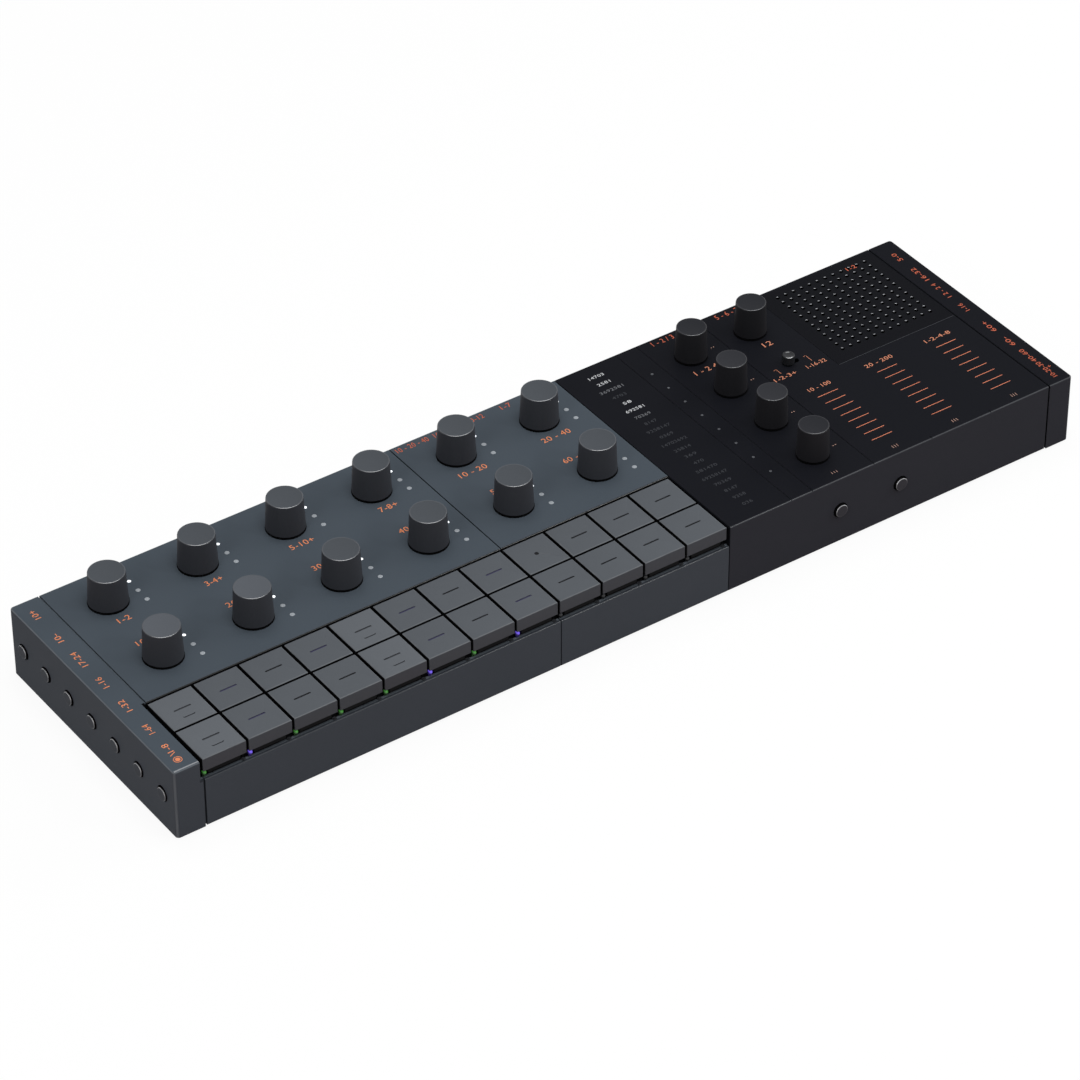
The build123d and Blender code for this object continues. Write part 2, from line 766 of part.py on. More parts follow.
left_wall = Plane(origin=(case_left, 0, side_axis), x_dir=(0, -1, 0), z_dir=(-1, 0, 0))
right_wall = Plane(origin=(case_right, 0, side_axis), x_dir=(0, 1, 0), z_dir=(1, 0, 0))
rear_wall = Plane(origin=(0, rear, side_axis), x_dir=(-1, 0, 0), z_dir=(0, 1, 0))
front_wall = Plane(origin=(0, front, side_axis), x_dir=(1, 0, 0), z_dir=(0, -1, 0))
save(button_strip(left_buttons, -1, left_wall, end_button_proud), "left_buttons")
save(button_strip(right_buttons, 1, right_wall, end_button_proud), "right_buttons")
save(button_strip(sound_side_buttons, 1, front_wall, long_button_proud), "front_buttons")
rear_strip = Compound(
    children=[
        button_strip(synth_rear_buttons, -1, rear_wall, long_button_proud).solid(),
        button_strip(sound_side_buttons, -1, rear_wall, long_button_proud).solid(),
    ]
)
save(rear_strip, "rear_buttons")

# ---- Battery --------------------------------------------------------------------------------
with BuildPart() as battery:
    with Locations((battery_place[0], battery_place[1], base_top)):
        Box(
            battery_length,
            battery_width,
            battery_thickness,
            align=(Align.CENTER, Align.CENTER, Align.MIN),
        )
    fillet(battery.edges().filter_by(Axis.X), battery_thickness / 3)
save(battery.part, "battery")

# ---- Loudspeaker ----------------------------------------------------------------------------
with BuildPart() as speaker:
    magnet_top = panel_under - speaker_depth + magnet_depth
    speaker_axis = Vector(grille_centre, grille_row_centre, 0)
    with BuildSketch(Plane(origin=speaker_axis, x_dir=(1, 0, 0), z_dir=(0, -1, 0))):
        with BuildLine():
            rim_under = panel_under - speaker_rim
            basket_radius = speaker_radius - speaker_rim
            mouth_radius = basket_radius - speaker_rim
            cone_bottom = magnet_top + 2 * speaker_rim
            Polyline(
                (0, cone_bottom),
                (0, panel_under - speaker_depth),
                (magnet_radius, panel_under - speaker_depth),
                (magnet_radius, magnet_top),
                (basket_radius, magnet_top),
                (basket_radius, rim_under),
                (speaker_radius, rim_under),
                (speaker_radius, panel_under),
                (mouth_radius, panel_under),
                (magnet_radius / 2, cone_bottom),
                close=True,
            )
        make_face()
    revolve(axis=Axis(speaker_axis, (0, 0, 1)))
save(speaker.part, "speaker")

# ---- Sockets: three jacks and a charging port -----------------------------------------------
jack_mouth = case_right - wall - jack_lead_in
nose_end = case_right - jack_recess
nose_radius = jack_radius + jack_wall


def jack(y):
    """A block with a nose that reaches into the end cap, bored for a 3.5 mm plug."""
    block_right = case_right - wall - base_gap
    block_left = jack_mouth - jack_depth - jack_wall
    with BuildPart() as socket:
        with Locations(((block_left + block_right) / 2, y, board_top)):
            Box(
                block_right - block_left,
                jack_side,
                2 * axis_above_board,
                align=(Align.CENTER, Align.CENTER, Align.MIN),
            )
        with BuildSketch(Plane(origin=(block_right, y, side_axis), z_dir=(1, 0, 0))):
            Circle(nose_radius)
        extrude(amount=nose_end - block_right)
        with BuildSketch(Plane(origin=(nose_end, y, side_axis), z_dir=(1, 0, 0))):
            Circle(jack_radius + jack_lead_in)
        extrude(amount=-(nose_end - jack_mouth), mode=Mode.SUBTRACT)
        with BuildSketch(Plane(origin=(jack_mouth, y, side_axis), z_dir=(1, 0, 0))):
            Circle(jack_radius)
        extrude(amount=-jack_depth, mode=Mode.SUBTRACT)
    return socket.part.solid()


with BuildPart() as usb_port:
    usb_mouth = Plane(origin=(nose_end, usb_line, usb_axis), z_dir=(1, 0, 0), x_dir=(0, 1, 0))
    with BuildSketch(usb_mouth):
        SlotOverall(usb_width, usb_height)
    extrude(amount=-usb_depth)
    with BuildSketch(usb_mouth):
        SlotOverall(usb_width - 2 * usb_shell, usb_height - 2 * usb_shell)
    extrude(amount=-usb_depth + usb_shell, mode=Mode.SUBTRACT)
    with BuildSketch(usb_mouth.offset(-usb_depth)):
        Rectangle(usb_width - usb_height, usb_height / 4)
    extrude(amount=usb_depth - 2 * usb_shell)

connectors = Compound(children=[usb_port.part.solid(), *[jack(y) for y in jack_lines]])
save(connectors, "connectors")
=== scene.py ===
"""The looks of a drum machine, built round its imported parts.

The shells, the board and what else stays hidden keep their CAD meshes and get procedural finishes.
Keys, knobs, buttons, the switch, the grille, screws and feet are rebuilt with finer detail in the
places that the CAD nodes give them. Lamps and printed marks are added on the panels.

Shapes are worked out in millimetres, in the frame of the CAD model, and become metres as each one
is turned into a piece.
"""

import logging
import math
from collections.abc import Callable, Iterable, Sequence
from dataclasses import asdict, dataclass, field, replace
from enum import Enum

import bmesh
import bpy
from bpy.types import ID, Material, Node, NodeSocket, NodeTree, Object
from mathutils import Matrix, Vector


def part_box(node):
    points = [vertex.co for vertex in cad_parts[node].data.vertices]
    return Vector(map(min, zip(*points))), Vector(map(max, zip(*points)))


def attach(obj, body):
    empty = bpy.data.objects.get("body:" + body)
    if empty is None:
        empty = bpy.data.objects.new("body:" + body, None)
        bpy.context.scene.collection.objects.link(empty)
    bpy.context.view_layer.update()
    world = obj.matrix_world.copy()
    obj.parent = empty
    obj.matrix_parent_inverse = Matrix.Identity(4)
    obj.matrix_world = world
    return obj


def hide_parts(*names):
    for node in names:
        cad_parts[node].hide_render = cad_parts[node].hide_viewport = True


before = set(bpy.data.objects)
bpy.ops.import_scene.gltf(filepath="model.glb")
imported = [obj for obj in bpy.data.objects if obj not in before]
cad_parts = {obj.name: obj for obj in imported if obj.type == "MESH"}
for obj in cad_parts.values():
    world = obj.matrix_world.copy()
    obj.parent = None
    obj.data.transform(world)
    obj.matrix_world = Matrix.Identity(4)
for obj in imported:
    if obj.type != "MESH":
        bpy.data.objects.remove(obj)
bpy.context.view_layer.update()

MM = 0.001
CHASSIS = "chassis"
WHITE = (1, 1, 1, 1)
Place = tuple[float, float]
Triple = tuple[float, float, float]
Colour = Triple
Shape = bmesh.types.BMesh
Look = dict[str, object]  # the shader's sockets, named with underscores, and their values or links

log = logging.getLogger("drum_machine")


# ---- Sizes read from the frame ----
def corners(node: str) -> tuple[Vector, Vector]:
    """Lowest and highest corners of a CAD node, in millimetres."""
    low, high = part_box(node)
    return low / MM, high / MM


def middle(node: str) -> Vector:
    """Middle of a CAD node's box, in millimetres."""
    low, high = corners(node)
    return (low + high) / 2


def top(node: str) -> float:
    """Height of a CAD node's highest point, in millimetres."""
    return corners(node)[1].z


def extent(node: str) -> Vector:
    """Size of a CAD node's box, in millimetres."""
    low, high = corners(node)
    return high - low


CASE_LOW, CASE_HIGH = corners("drum_case")
LEFT_LOW, RIGHT_HIGH = corners("left_end_cap")[0], corners("right_end_cap")[1]
PANEL_TOP = CASE_HIGH.z
FRONT, REAR = CASE_LOW.y, CASE_HIGH.y
GRID = middle("front_key_2").x - middle("front_key_1").x
SYNTH_RIGHT = corners("synth_case")[1].x
KEY_COLUMNS = 12
TRACK_KNOBS = tuple(f"{row}_track_knob_{number}" for row in ("back", "front") for number in range(1, 7))
SOUND_KNOBS = tuple(f"sound_knob_{number}" for number in range(1, 5))
PAINTED_GLINT_WAY = (-0.195, -0.46, 0.866)  # direction of the normals that get a painted highlight
HAIR = 1e-5  # points nearer than this are one point


# ---- Node trees ----
def operator(operation: str, swapped: bool = False) -> Callable:
    """A method of Value that adds one Math node, with its operands swapped for a reflected form.

    Args:
        operation: The node's operation.
        swapped: Whether the other operand comes first.

    Returns:
        The method.
    """

    def method(self: "Value", *others: "Value | float") -> "Value":
        """The node's result."""
        return self.graph.maths(operation, *((*others, self) if swapped else (self, *others)))

    return method


class Value:
    """A number that varies over a surface: a socket that takes part in Python expressions."""

    __add__ = __radd__ = operator("ADD")
    __mul__ = __rmul__ = operator("MULTIPLY")
    __sub__ = operator("SUBTRACT")
    __rsub__ = operator("SUBTRACT", swapped=True)
    __abs__ = operator("ABSOLUTE")

    def __init__(self, graph: "Graph", socket: NodeSocket) -> None:
        """Wrap a socket of a graph."""
        self.graph = graph
        self.socket = socket

    def over(self, start: float, end: float) -> "Value":
        """Smooth step from 0 at start to 1 at end.

        Args:
            start: Value from which it rises.
            end: Value at which it is 1.

        Returns:
            The step.
        """
        span = {"Value": self, "From Min": start, "From Max": end}
        step = self.graph.out("ShaderNodeMapRange", {"interpolation_type": "SMOOTHSTEP"}, span)
        return Value(self.graph, step)


class Graph:
    """A node tree of any kind, filled through one method."""

    def __init__(self, tree: NodeTree) -> None:
        """Wrap an empty tree."""
        self.tree = tree

    def node(self, kind: str, settings: dict | None = None, inputs: dict | None = None) -> Node:
        """Add a node.

        Args:
            kind: The node's type.
            settings: Its own properties, set before its sockets.
            inputs: Values or links of its sockets, by name or number.

        Returns:
            The new node.
        """
        node = self.tree.nodes.new(kind)
        for name, value in (settings or {}).items():
            setattr(node, name, value)
        for key, value in (inputs or {}).items():
            self.feed(node.inputs[key], value)
        return node

    def feed(self, socket: NodeSocket, value: object) -> None:
        """Link a socket to a value, or set it where the value is a plain one.

        Args:
            socket: A node's input.
            value: What it gets.
        """
        value = getattr(value, "socket", value)
        if isinstance(value, NodeSocket):
            self.tree.links.new(value, socket)
        else:
            socket.default_value = value

    def out(self, kind: str, settings: dict | None = None, inputs: dict | None = None) -> NodeSocket:
        """Add a node and return its first output."""
        return self.node(kind, settings, inputs).outputs[0]

    def maths(self, operation: str, *operands: "Value | float | NodeSocket") -> Value:
        """Add a Math node and return its result."""
        return Value(self, self.out("ShaderNodeMath", {"operation": operation}, dict(enumerate(operands))))

    def vector(self, operation: str, inputs: dict) -> Node:
        """Add a Vector Math node."""
        return self.node("ShaderNodeVectorMath", {"operation": operation}, inputs)


class Surface(Graph):
    """The node tree of one material, round a Principled shader; its colours are 8-bit display values."""

    def __init__(self, name: str) -> None:
        """Start a material with its shader and its object coordinates in millimetres.

        Args:
            name: The material's name.
        """
        self.material = bpy.data.materials.new(name)
        self.material.use_nodes = True
        super().__init__(self.material.node_tree)
        self.tree.nodes.clear()
        self.shader = self.node("ShaderNodeBsdfPrincipled")
        self.output = self.node("ShaderNodeOutputMaterial", inputs={"Surface": self.shader.outputs[0]})
        coordinates = self.node("ShaderNodeTexCoord").outputs["Object"]
        self.place = self.vector("SCALE", {0: coordinates, "Scale": 1 / MM}).outputs[0]

    def noise(self, size: float, detail: float = 2.0, stretch: Triple = (1, 1, 1)) -> Value:
        """Cloudy noise of about 0 to 1.

        Args:
            size: Distance between its lumps, in millimetres.
            detail: Octaves of finer noise.
            stretch: How many times closer the lumps lie along X, Y and Z.

        Returns:
            The noise.
        """
        where = self.vector("MULTIPLY", {0: self.place, 1: stretch}).outputs[0]
        inputs = {"Vector": where, "Scale": 1 / size, "Detail": detail}
        return Value(self, self.out("ShaderNodeTexNoise", None, inputs))

    def axes(self, vector: NodeSocket) -> list[Value]:
        """The three parts of a vector."""
        return [Value(self, part) for part in self.node("ShaderNodeSeparateXYZ", inputs={0: vector}).outputs]

    def normal(self) -> NodeSocket:
        """Direction in which the surface faces."""
        return self.node("ShaderNodeNewGeometry").outputs["Normal"]

    def edge_mask(self) -> Value:
        """1 on rounded edges between faces that lie square to the axes, 0 on those faces.

        Returns:
            The mask.
        """
        x, y, z = self.axes(self.normal())
        largest = self.maths("MAXIMUM", self.maths("MAXIMUM", abs(x), abs(y)), abs(z))
        return 1 - largest.over(0.8, 0.98)

    def upward(self, start: float, end: float) -> Value:
        """0 to 1 as a surface turns upwards, between two heights of its normal."""
        return self.axes(self.normal())[2].over(start, end)

    def facing(self, way: Triple, start: float, end: float) -> Value:
        """0 to 1 as a surface turns towards a direction, between two cosines."""
        node = self.vector("DOT_PRODUCT", {0: self.normal(), 1: way})
        return Value(self, node.outputs["Value"]).over(start, end)

    def box_mask(self, low: Sequence[float], high: Sequence[float], blur: float = 0.05) -> Value:
        """1 inside an upright box, in millimetres, and 0 outside it.

        Args:
            low: The box's lowest corner.
            high: Its highest corner.
            blur: How far its soft sides reach out of it.

        Returns:
            The mask.
        """
        x, y, z = (
            axis.over(start - blur, start) * (1 - axis.over(end, end + blur))
            for axis, start, end in zip(self.axes(self.place), low, high)
        )
        return x * y * z

    def shaded(self, colour: Colour, tone: Value) -> NodeSocket:
        """A colour made lighter or darker by a number near 1."""
        return self.vector("SCALE", {0: display(colour), "Scale": tone}).outputs[0]

    def mixed(self, share: Value, first: NodeSocket | Colour, second: NodeSocket | Colour) -> NodeSocket:
        """The first colour where share is 0 and the second where it is 1.

        Args:
            share: Share of the second colour.
            first: A colour or a link.
            second: Another one.

        Returns:
            The mixed colour.
        """
        ends = ((*display(end), 1) if isinstance(end, tuple) else end for end in (first, second))
        inputs = dict(zip((0, 6, 7), (share, *ends)))
        return self.node("ShaderNodeMix", {"data_type": "RGBA"}, inputs).outputs[2]

    def relief(self, height: Value, depth: float) -> NodeSocket:
        """Normal of a surface whose height varies; depth is the relief in millimetres."""
        return self.out("ShaderNodeBump", None, {"Height": height, "Distance": depth * MM})

    def finish(self, **values: NodeSocket | Value | float | Colour) -> Material:
        """Set the shader's sockets, named with underscores for spaces, and return the material.

        Args:
            values: Values or links of the sockets.

        Returns:
            The material.
        """
        for name, value in values.items():
            socket = self.shader.inputs[name.replace("_", " ").title().replace("Ior", "IOR")]
            self.feed(socket, (*value, 1) if isinstance(value, tuple) else value)
        return self.material


class Growth(Graph):
    """A Geometry Nodes tree with named inputs, whose result becomes a plain shape."""

    def __init__(self, name: str, **inputs: str) -> None:
        """Start a tree.

        Args:
            name: The tree's name.
            inputs: Its own inputs, each with the kind of socket, such as Float or Int.
        """
        tree = bpy.data.node_groups.new(name, "GeometryNodeTree")
        super().__init__(tree)
        kinds = {"points": "Geometry", **inputs, "finish": "Material"}
        for label, kind in kinds.items():
            tree.interface.new_socket(label, in_out="INPUT", socket_type=f"NodeSocket{kind}")
        tree.interface.new_socket("result", in_out="OUTPUT", socket_type="NodeSocketGeometry")
        self.given = self.node("NodeGroupInput").outputs

    def number(self, operation: str, *operands: NodeSocket | float) -> NodeSocket:
        """A sum on the tree's inputs."""
        return self.maths(operation, *operands).socket

    def joined(self, *parts: NodeSocket) -> NodeSocket:
        """Several geometries as one.

        Args:
            parts: The geometries.

        Returns:
            All of them as one.
        """
        node = self.node("GeometryNodeJoinGeometry")
        for part in parts:
            self.feed(node.inputs[0], part)
        return node.outputs[0]

    def moved(self, geometry: NodeSocket, **way: NodeSocket | float) -> NodeSocket:
        """Geometry moved along X, Y or Z."""
        move = self.out("ShaderNodeCombineXYZ", None, way)
        return self.out("GeometryNodeTransform", None, {"Geometry": geometry, "Translation": move})

    def spread(self, points: NodeSocket, part: NodeSocket, **more: NodeSocket) -> NodeSocket:
        """A part at each point, as real geometry."""
        copies = self.out("GeometryNodeInstanceOnPoints", None, {"Points": points, "Instance": part, **more})
        return self.out("GeometryNodeRealizeInstances", None, {0: copies})

    def end(self, geometry: NodeSocket) -> None:
        """Close the tree: realize what it repeats and give it its material.

        Args:
            geometry: What the tree made.
        """
        real = self.out("GeometryNodeRealizeInstances", None, {0: geometry})
        finish = {"Geometry": real, "Material": self.given["finish"]}
        self.node("NodeGroupOutput", None, {0: self.out("GeometryNodeSetMaterial", None, finish)})

    def grow(self, places: Iterable[Vector], finish: Material, **sizes: float | int | Object) -> Shape:
        """Run the tree.

        Args:
            places: Points that it starts from, in millimetres.
            finish: Material of what it makes.
            sizes: Values of its named inputs.

        Returns:
            The result as a plain shape.
        """
        points = bpy.data.meshes.new(self.tree.name)
        points.from_pydata([tuple(place) for place in places], [], [])
        holder = linked(self.tree.name, points)
        modifier = holder.modifiers.new(self.tree.name, "NODES")
        modifier.node_group = self.tree
        values = {**sizes, "finish": finish}
        for item in self.tree.interface.items_tree:
            if item.in_out == "INPUT" and item.name in values:
                modifier[item.identifier] = values[item.name]
        return plain_shape(holder)


# ---- Shapes ----
def linked(name: str, data: ID) -> Object:
    """A new object in the scene that holds some data.

    Args:
        name: The object's name.
        data: What it holds.

    Returns:
        The object.
    """
    holder = bpy.data.objects.new(name, data)
    bpy.context.scene.collection.objects.link(holder)
    return holder


def plain_shape(holder: Object) -> Shape:
    """The evaluated mesh of a scratch object, which is removed with its modifiers.

    Args:
        holder: The scratch object.

    Returns:
        Its shape.
    """
    evaluated = holder.evaluated_get(bpy.context.evaluated_depsgraph_get())
    mesh = bpy.data.meshes.new_from_object(evaluated)
    shape = bmesh.new()
    shape.from_mesh(mesh)
    bpy.data.objects.remove(holder)
    bpy.data.meshes.remove(mesh)
    return shape


def modified(shape: Shape, kind: str, **settings: object) -> Shape:
    """A shape with one modifier applied; the given shape is used up.

    Args:
        shape: The shape.
        kind: The modifier's type.
        settings: Its properties.

    Returns:
        The changed shape.
    """
    holder = scratch_object(shape, "modified")
    modifier = holder.modifiers.new(kind, kind)
    for name, value in settings.items():
        setattr(modifier, name, value)
    return plain_shape(holder)


def scratch_object(shape: Shape, name: str) -> Object:
    """An object in millimetres that holds a shape for a while; the shape is used up.

    Args:
        shape: What it holds.
        name: The object's name.

    Returns:
        The object.
    """
    mesh = bpy.data.meshes.new(name)
    shape.to_mesh(mesh)
    shape.free()
    return linked(name, mesh)


def carved(shape: Shape, cutter: Shape) -> Shape:
    """A shape with another one cut out of it; both are used up.

    Args:
        shape: What is cut.
        cutter: What is taken away.

    Returns:
        What is left.
    """
    tool = scratch_object(cutter, "cutter")
    result = modified(shape, "BOOLEAN", object=tool, operation="DIFFERENCE", solver="EXACT")
    bpy.data.objects.remove(tool)
    return result


def cad_shape(node: str) -> Shape:
    """A CAD node's shape in millimetres, with its loose triangles merged into flat faces.

    Args:
        node: The node's name.

    Returns:
        Its shape.
    """
    shape = bmesh.new()
    shape.from_mesh(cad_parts[node].data)
    shape.transform(Matrix.Scale(1 / MM, 4))
    bmesh.ops.remove_doubles(shape, verts=shape.verts, dist=0.001)
    bmesh.ops.dissolve_limit(shape, angle_limit=math.radians(1), verts=shape.verts, edges=shape.edges)
    return shape


def join(shape: Shape, other: Shape, place: Matrix = Matrix(), finish: int | None = None) -> None:
    """Add a copy of another shape to a shape.

    Args:
        shape: What grows.
        other: What is added; it stays as it is.
        place: Where the copy goes.
        finish: Number of the copy's material, if not the one that it has.
    """
    mesh = bpy.data.meshes.new("joined")
    other.to_mesh(mesh)
    mesh.transform(place)
    if finish is not None:
        mesh.polygons.foreach_set("material_index", [finish] * len(mesh.polygons))
    shape.from_mesh(mesh)
    bpy.data.meshes.remove(mesh)


def at(x: float, y: float, z: float) -> Matrix:
    """A move by so many millimetres."""
    return Matrix.Translation((x, y, z))


def above(node: str, height: float = 0.0) -> Matrix:
    """A move to the middle of a CAD node, seen from above, at a height."""
    centre = middle(node)
    return at(centre.x, centre.y, height)


def block(low: Sequence[float], high: Sequence[float]) -> Shape:
    """A box between two corners.

    Args:
        low: Its lowest corner.
        high: Its highest corner.

    Returns:
        The box.
    """
    shape = bmesh.new()
    size, centre = Vector(high) - Vector(low), (Vector(low) + Vector(high)) / 2
    bmesh.ops.create_cube(shape, size=1, matrix=at(*centre) @ Matrix.Diagonal((*size, 1)))
    return shape


def eased(profile: Sequence[Place], radii: dict[int, float], steps: int = 4) -> list[Place]:
    """A profile whose numbered corners are rounded.

    Args:
        profile: Its corners.
        radii: For each rounded corner, how far from the corner the round starts.
        steps: Chords in each round.

    Returns:
        The corners and the points of the rounds, in order.
    """
    points: list[Place] = []
    for number, corner in enumerate(profile):
        if number not in radii:
            points.append(corner)
            continue
        here = Vector(corner)
        ends = []
        for neighbour in (profile[number - 1], profile[number + 1]):
            way = Vector(neighbour) - here
            ends.append(here + way.normalized() * min(radii[number], way.length * 0.5))
        for step in range(steps + 1):
            t = step / steps
            on_curve = ends[0] * (1 - t) ** 2 + here * 2 * t * (1 - t) + ends[1] * t**2
            points.append(tuple(on_curve))
    return points


def arc(radius: float, start: float, end: float, steps: int) -> list[Place]:
    """Points on a circle about the origin, from one angle to another, both in turns."""
    turns = [2 * math.pi * (start + (end - start) * i / steps) for i in range(steps + 1)]
    return [(radius * math.cos(turn), radius * math.sin(turn)) for turn in turns]


def lathe(profile: Sequence[Place], segments: int, zones: dict[int, int] | None = None) -> Shape:
    """A turned shape about the Z axis.

    Args:
        profile: Radius and height of each corner, from the axis below to the axis above.
        segments: Faces round it.
        zones: Material number from each numbered corner of the profile on.

    Returns:
        The closed shape.
    """
    shape = bmesh.new()
    rings = []
    for radius, height in profile:
        spokes = arc(radius, 0, 1, segments)[:-1] if radius > 0 else [(0, 0)]
        ring = [shape.verts.new((x, y, height)) for x, y in spokes]
        rings.append(ring * (segments // len(ring)))
    finish = 0
    for number, (lower, upper) in enumerate(zip(rings, rings[1:])):
        finish = (zones or {}).get(number, finish)
        for i in range(segments):
            j = (i + 1) % segments
            face = shape.faces.new(list(dict.fromkeys((lower[i], lower[j], upper[j], upper[i]))))
            face.material_index = finish
    bmesh.ops.recalc_face_normals(shape, faces=shape.faces)
    return shape


def prism(outline: Sequence[Place], low: float, high: float) -> Shape:
    """An upright prism between two heights.

    Args:
        outline: Its corners, seen from above.
        low: Its lower height.
        high: Its upper height.

    Returns:
        The prism.
    """
    shape = bmesh.new()
    face = shape.faces.new([shape.verts.new((x, y, low)) for x, y in outline])
    raised = bmesh.ops.extrude_face_region(shape, geom=[face])["geom"]
    tops = [part for part in raised if isinstance(part, bmesh.types.BMVert)]
    bmesh.ops.translate(shape, verts=tops, vec=(0, 0, high - low))
    bmesh.ops.recalc_face_normals(shape, faces=shape.faces)
    return shape


def capsule(length: float, width: float, steps: int = 6) -> list[Place]:
    """Outline of a bar along X with round ends.

    Args:
        length: Length over the ends.
        width: Width of the bar.
        steps: Chords in each end.

    Returns:
        The outline.
    """
    reach = (length - width) / 2
    right = [(reach + x, y) for x, y in arc(width / 2, -0.25, 0.25, steps)]
    return right + [(-x, -y) for x, y in right]


def piece(
    name: str,
    shape: Shape,
    finishes: Sequence[Material],
    slot: str,
    body: str = CHASSIS,
    replaced: Sequence[str] = (),
    smooth: float = 35,
) -> None:
    """Turn a shape into a piece of the model.

    Args:
        name: The piece's name.
        shape: Its shape in millimetres, which is used up.
        finishes: Its materials, in the order of the faces' material numbers.
        slot: Not used.
        body: The CAD body that it rides on.
        replaced: The CAD nodes that it stands for.
        smooth: Faces that meet at less than this angle, in degrees, are shaded as one.
    """
    shape.transform(Matrix.Scale(MM, 4))
    mesh = bpy.data.meshes.new(name)
    shape.to_mesh(mesh)
    shape.free()
    for finish in finishes:
        mesh.materials.append(finish)
    mesh.shade_smooth()
    mesh.set_sharp_from_angle(angle=math.radians(smooth))
    made = linked(name, mesh)
    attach(made, body)
    if replaced:
        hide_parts(*replaced)
    log.info("%s: %d faces, on %s", name, len(mesh.polygons), body)


# ---- Finishes ----
def display(colour: Colour) -> Colour:
    """Linear colour from 8-bit display values."""
    levels = [level / 255 for level in colour]
    return tuple(level / 12.92 if level <= 0.04045 else ((level + 0.055) / 1.055) ** 2.4 for level in levels)


@dataclass(frozen=True)
class PaintedLightBox:
    """A box in which a plastic has another colour: painted shade in a gap, seam or hole, or painted light on
    an edge or floor.
    """

    low: Sequence[float]
    high: Sequence[float]
    colour: Colour


@dataclass(frozen=True)
class Finish:
    """A procedural finish of one main colour."""

    name: str
    colour: Colour

    def material(self) -> Material:
        """Build the material."""
        surface = Surface(self.name)
        return surface.finish(**self.look(surface))

    def look(self, surface: Surface) -> Look:
        """What feeds the shader's sockets."""
        raise NotImplementedError


@dataclass(frozen=True)
class Plastic(Finish):
    """Moulded plastic with a fine spark-eroded grain, faint clouds, edge wear and painted light: highlights
    on edges and lips, shade on sides and in boxes.
    """

    edge: Colour | None = None  # colour of rounded edges: some wear, mostly a painted highlight where they look up
    upright: Colour | None = None  # colour of upright faces, painted lighter or darker than the top for how the light falls on them
    roughness: float = 0.62
    specular: float = 0.06
    grain: float = 0.45  # millimetres between its lumps
    relief: float = 0.012
    cloud: float = 38.0  # millimetres between its clouds
    clouds: float = 0.05  # share by which the tone wanders
    coat: float = 0.0
    edge_coat: float = 0.0  # gloss of rounded edges
    gleam: Colour | None = None  # colour of a painted highlight on a lip where it looks up and to the front
    # Boxes of painted shade and painted light.
    hollows: tuple[PaintedLightBox, ...] = ()

    def look(self, surface: Surface) -> Look:
        """What feeds the shader's sockets.

        Args:
            surface: The material's node tree.

        Returns:
            Values and links of the sockets, by name.
        """
        grain = surface.noise(self.grain, detail=3)
        cloud = surface.noise(self.cloud, detail=1)
        tone = 1 + (cloud - 0.5) * (2 * self.clouds) + (grain - 0.5) * 0.12
        colour = surface.shaded(self.colour, tone)
        # Painted shade and light: upright faces take their own tone, painted darker still as they turn down.
        if self.upright:
            sides = surface.shaded(self.upright, tone * (0.5 + surface.upward(-0.75, -0.1) * 0.5))
            colour = surface.mixed(surface.upward(0.55, 0.9), sides, colour)
        # Painted highlight: rounded edges paler as they turn up and not at all as they turn down; the scuff
        # noise is wear.
        if self.edge:
            scuffs = surface.noise(5, detail=3).over(0.25, 0.6)
            wear_and_highlight = surface.edge_mask() * (0.55 + scuffs * 0.45) * (surface.upward(-0.1, 0.5) * 0.7 + 0.3)
            colour = surface.mixed(wear_and_highlight * surface.upward(-0.5, -0.1), colour, self.edge)
        # Boxes of painted shade and painted light.
        for painted_box in self.hollows:
            colour = surface.mixed(surface.box_mask(painted_box.low, painted_box.high), colour, painted_box.colour)
        # Painted highlight on faces that turn towards one fixed direction.
        if self.gleam:
            colour = surface.mixed(surface.facing(PAINTED_GLINT_WAY, 0.92, 0.985), colour, self.gleam)
        return {
            "base_color": colour,
            "roughness": self.roughness + (grain - 0.5) * 0.12 + (cloud - 0.5) * 0.08,
            "specular_ior_level": self.specular,
            "coat_weight": surface.edge_mask() * self.edge_coat + self.coat if self.edge_coat else self.coat,
            "coat_roughness": 0.18 if self.edge_coat else 0.08,
            "normal": surface.relief(grain, self.relief),
        }


@dataclass(frozen=True)
class Ink(Finish):
    """Screen-printed ink, a little uneven where the grain shows through."""

    def look(self, surface: Surface) -> Look:
        """What feeds the shader's sockets.

        Args:
            surface: The material's node tree.

        Returns:
            Values and links of the sockets, by name.
        """
        speckle = surface.noise(0.25, detail=2)
        return {
            "base_color": surface.shaded(self.colour, 0.94 + speckle * 0.12),
            "roughness": 0.55 + speckle * 0.15,
            "specular_ior_level": 0.15,
            "normal": surface.relief(speckle, 0.004),
        }


@dataclass(frozen=True)
class Lens(Finish):
    """A small moulded light pipe, lit or dark, painted lighter on its upper side."""

    glow: float = 0.0

    def look(self, surface: Surface) -> Look:
        """What feeds the shader's sockets.

        Args:
            surface: The material's node tree.

        Returns:
            Values and links of the sockets, by name.
        """
        milk = surface.noise(0.6, detail=2)
        x, y, z = surface.axes(surface.normal())
        # Painted light: colour and glow brighter on the side that faces up, to the front and to the right.
        bright = (x * 0.35 - y * 0.25 + z * 0.9).over(0.1, 0.75)
        return {
            "base_color": surface.shaded(self.colour, 0.25 + bright * 0.75 + milk * 0.1),
            "roughness": 0.25 + milk * 0.15,
            "specular_ior_level": 0.4,
            "emission_color": surface.shaded(self.colour, bright * (0.8 + milk * 0.4)),
            "emission_strength": self.glow,
        }


@dataclass(frozen=True)
class Metal(Finish):
    """Plated or brushed metal with fine streaks."""

    roughness: float = 0.3

    def look(self, surface: Surface) -> Look:
        """What feeds the shader's sockets.

        Args:
            surface: The material's node tree.

        Returns:
            Values and links of the sockets, by name.
        """
        streaks = surface.noise(0.8, detail=3, stretch=(1, 1, 8))
        return {
            "base_color": surface.shaded(self.colour, 0.88 + streaks * 0.24),
            "metallic": 1.0,
            "roughness": self.roughness + (streaks - 0.5) * 0.2,
            "normal": surface.relief(streaks, 0.004),
        }


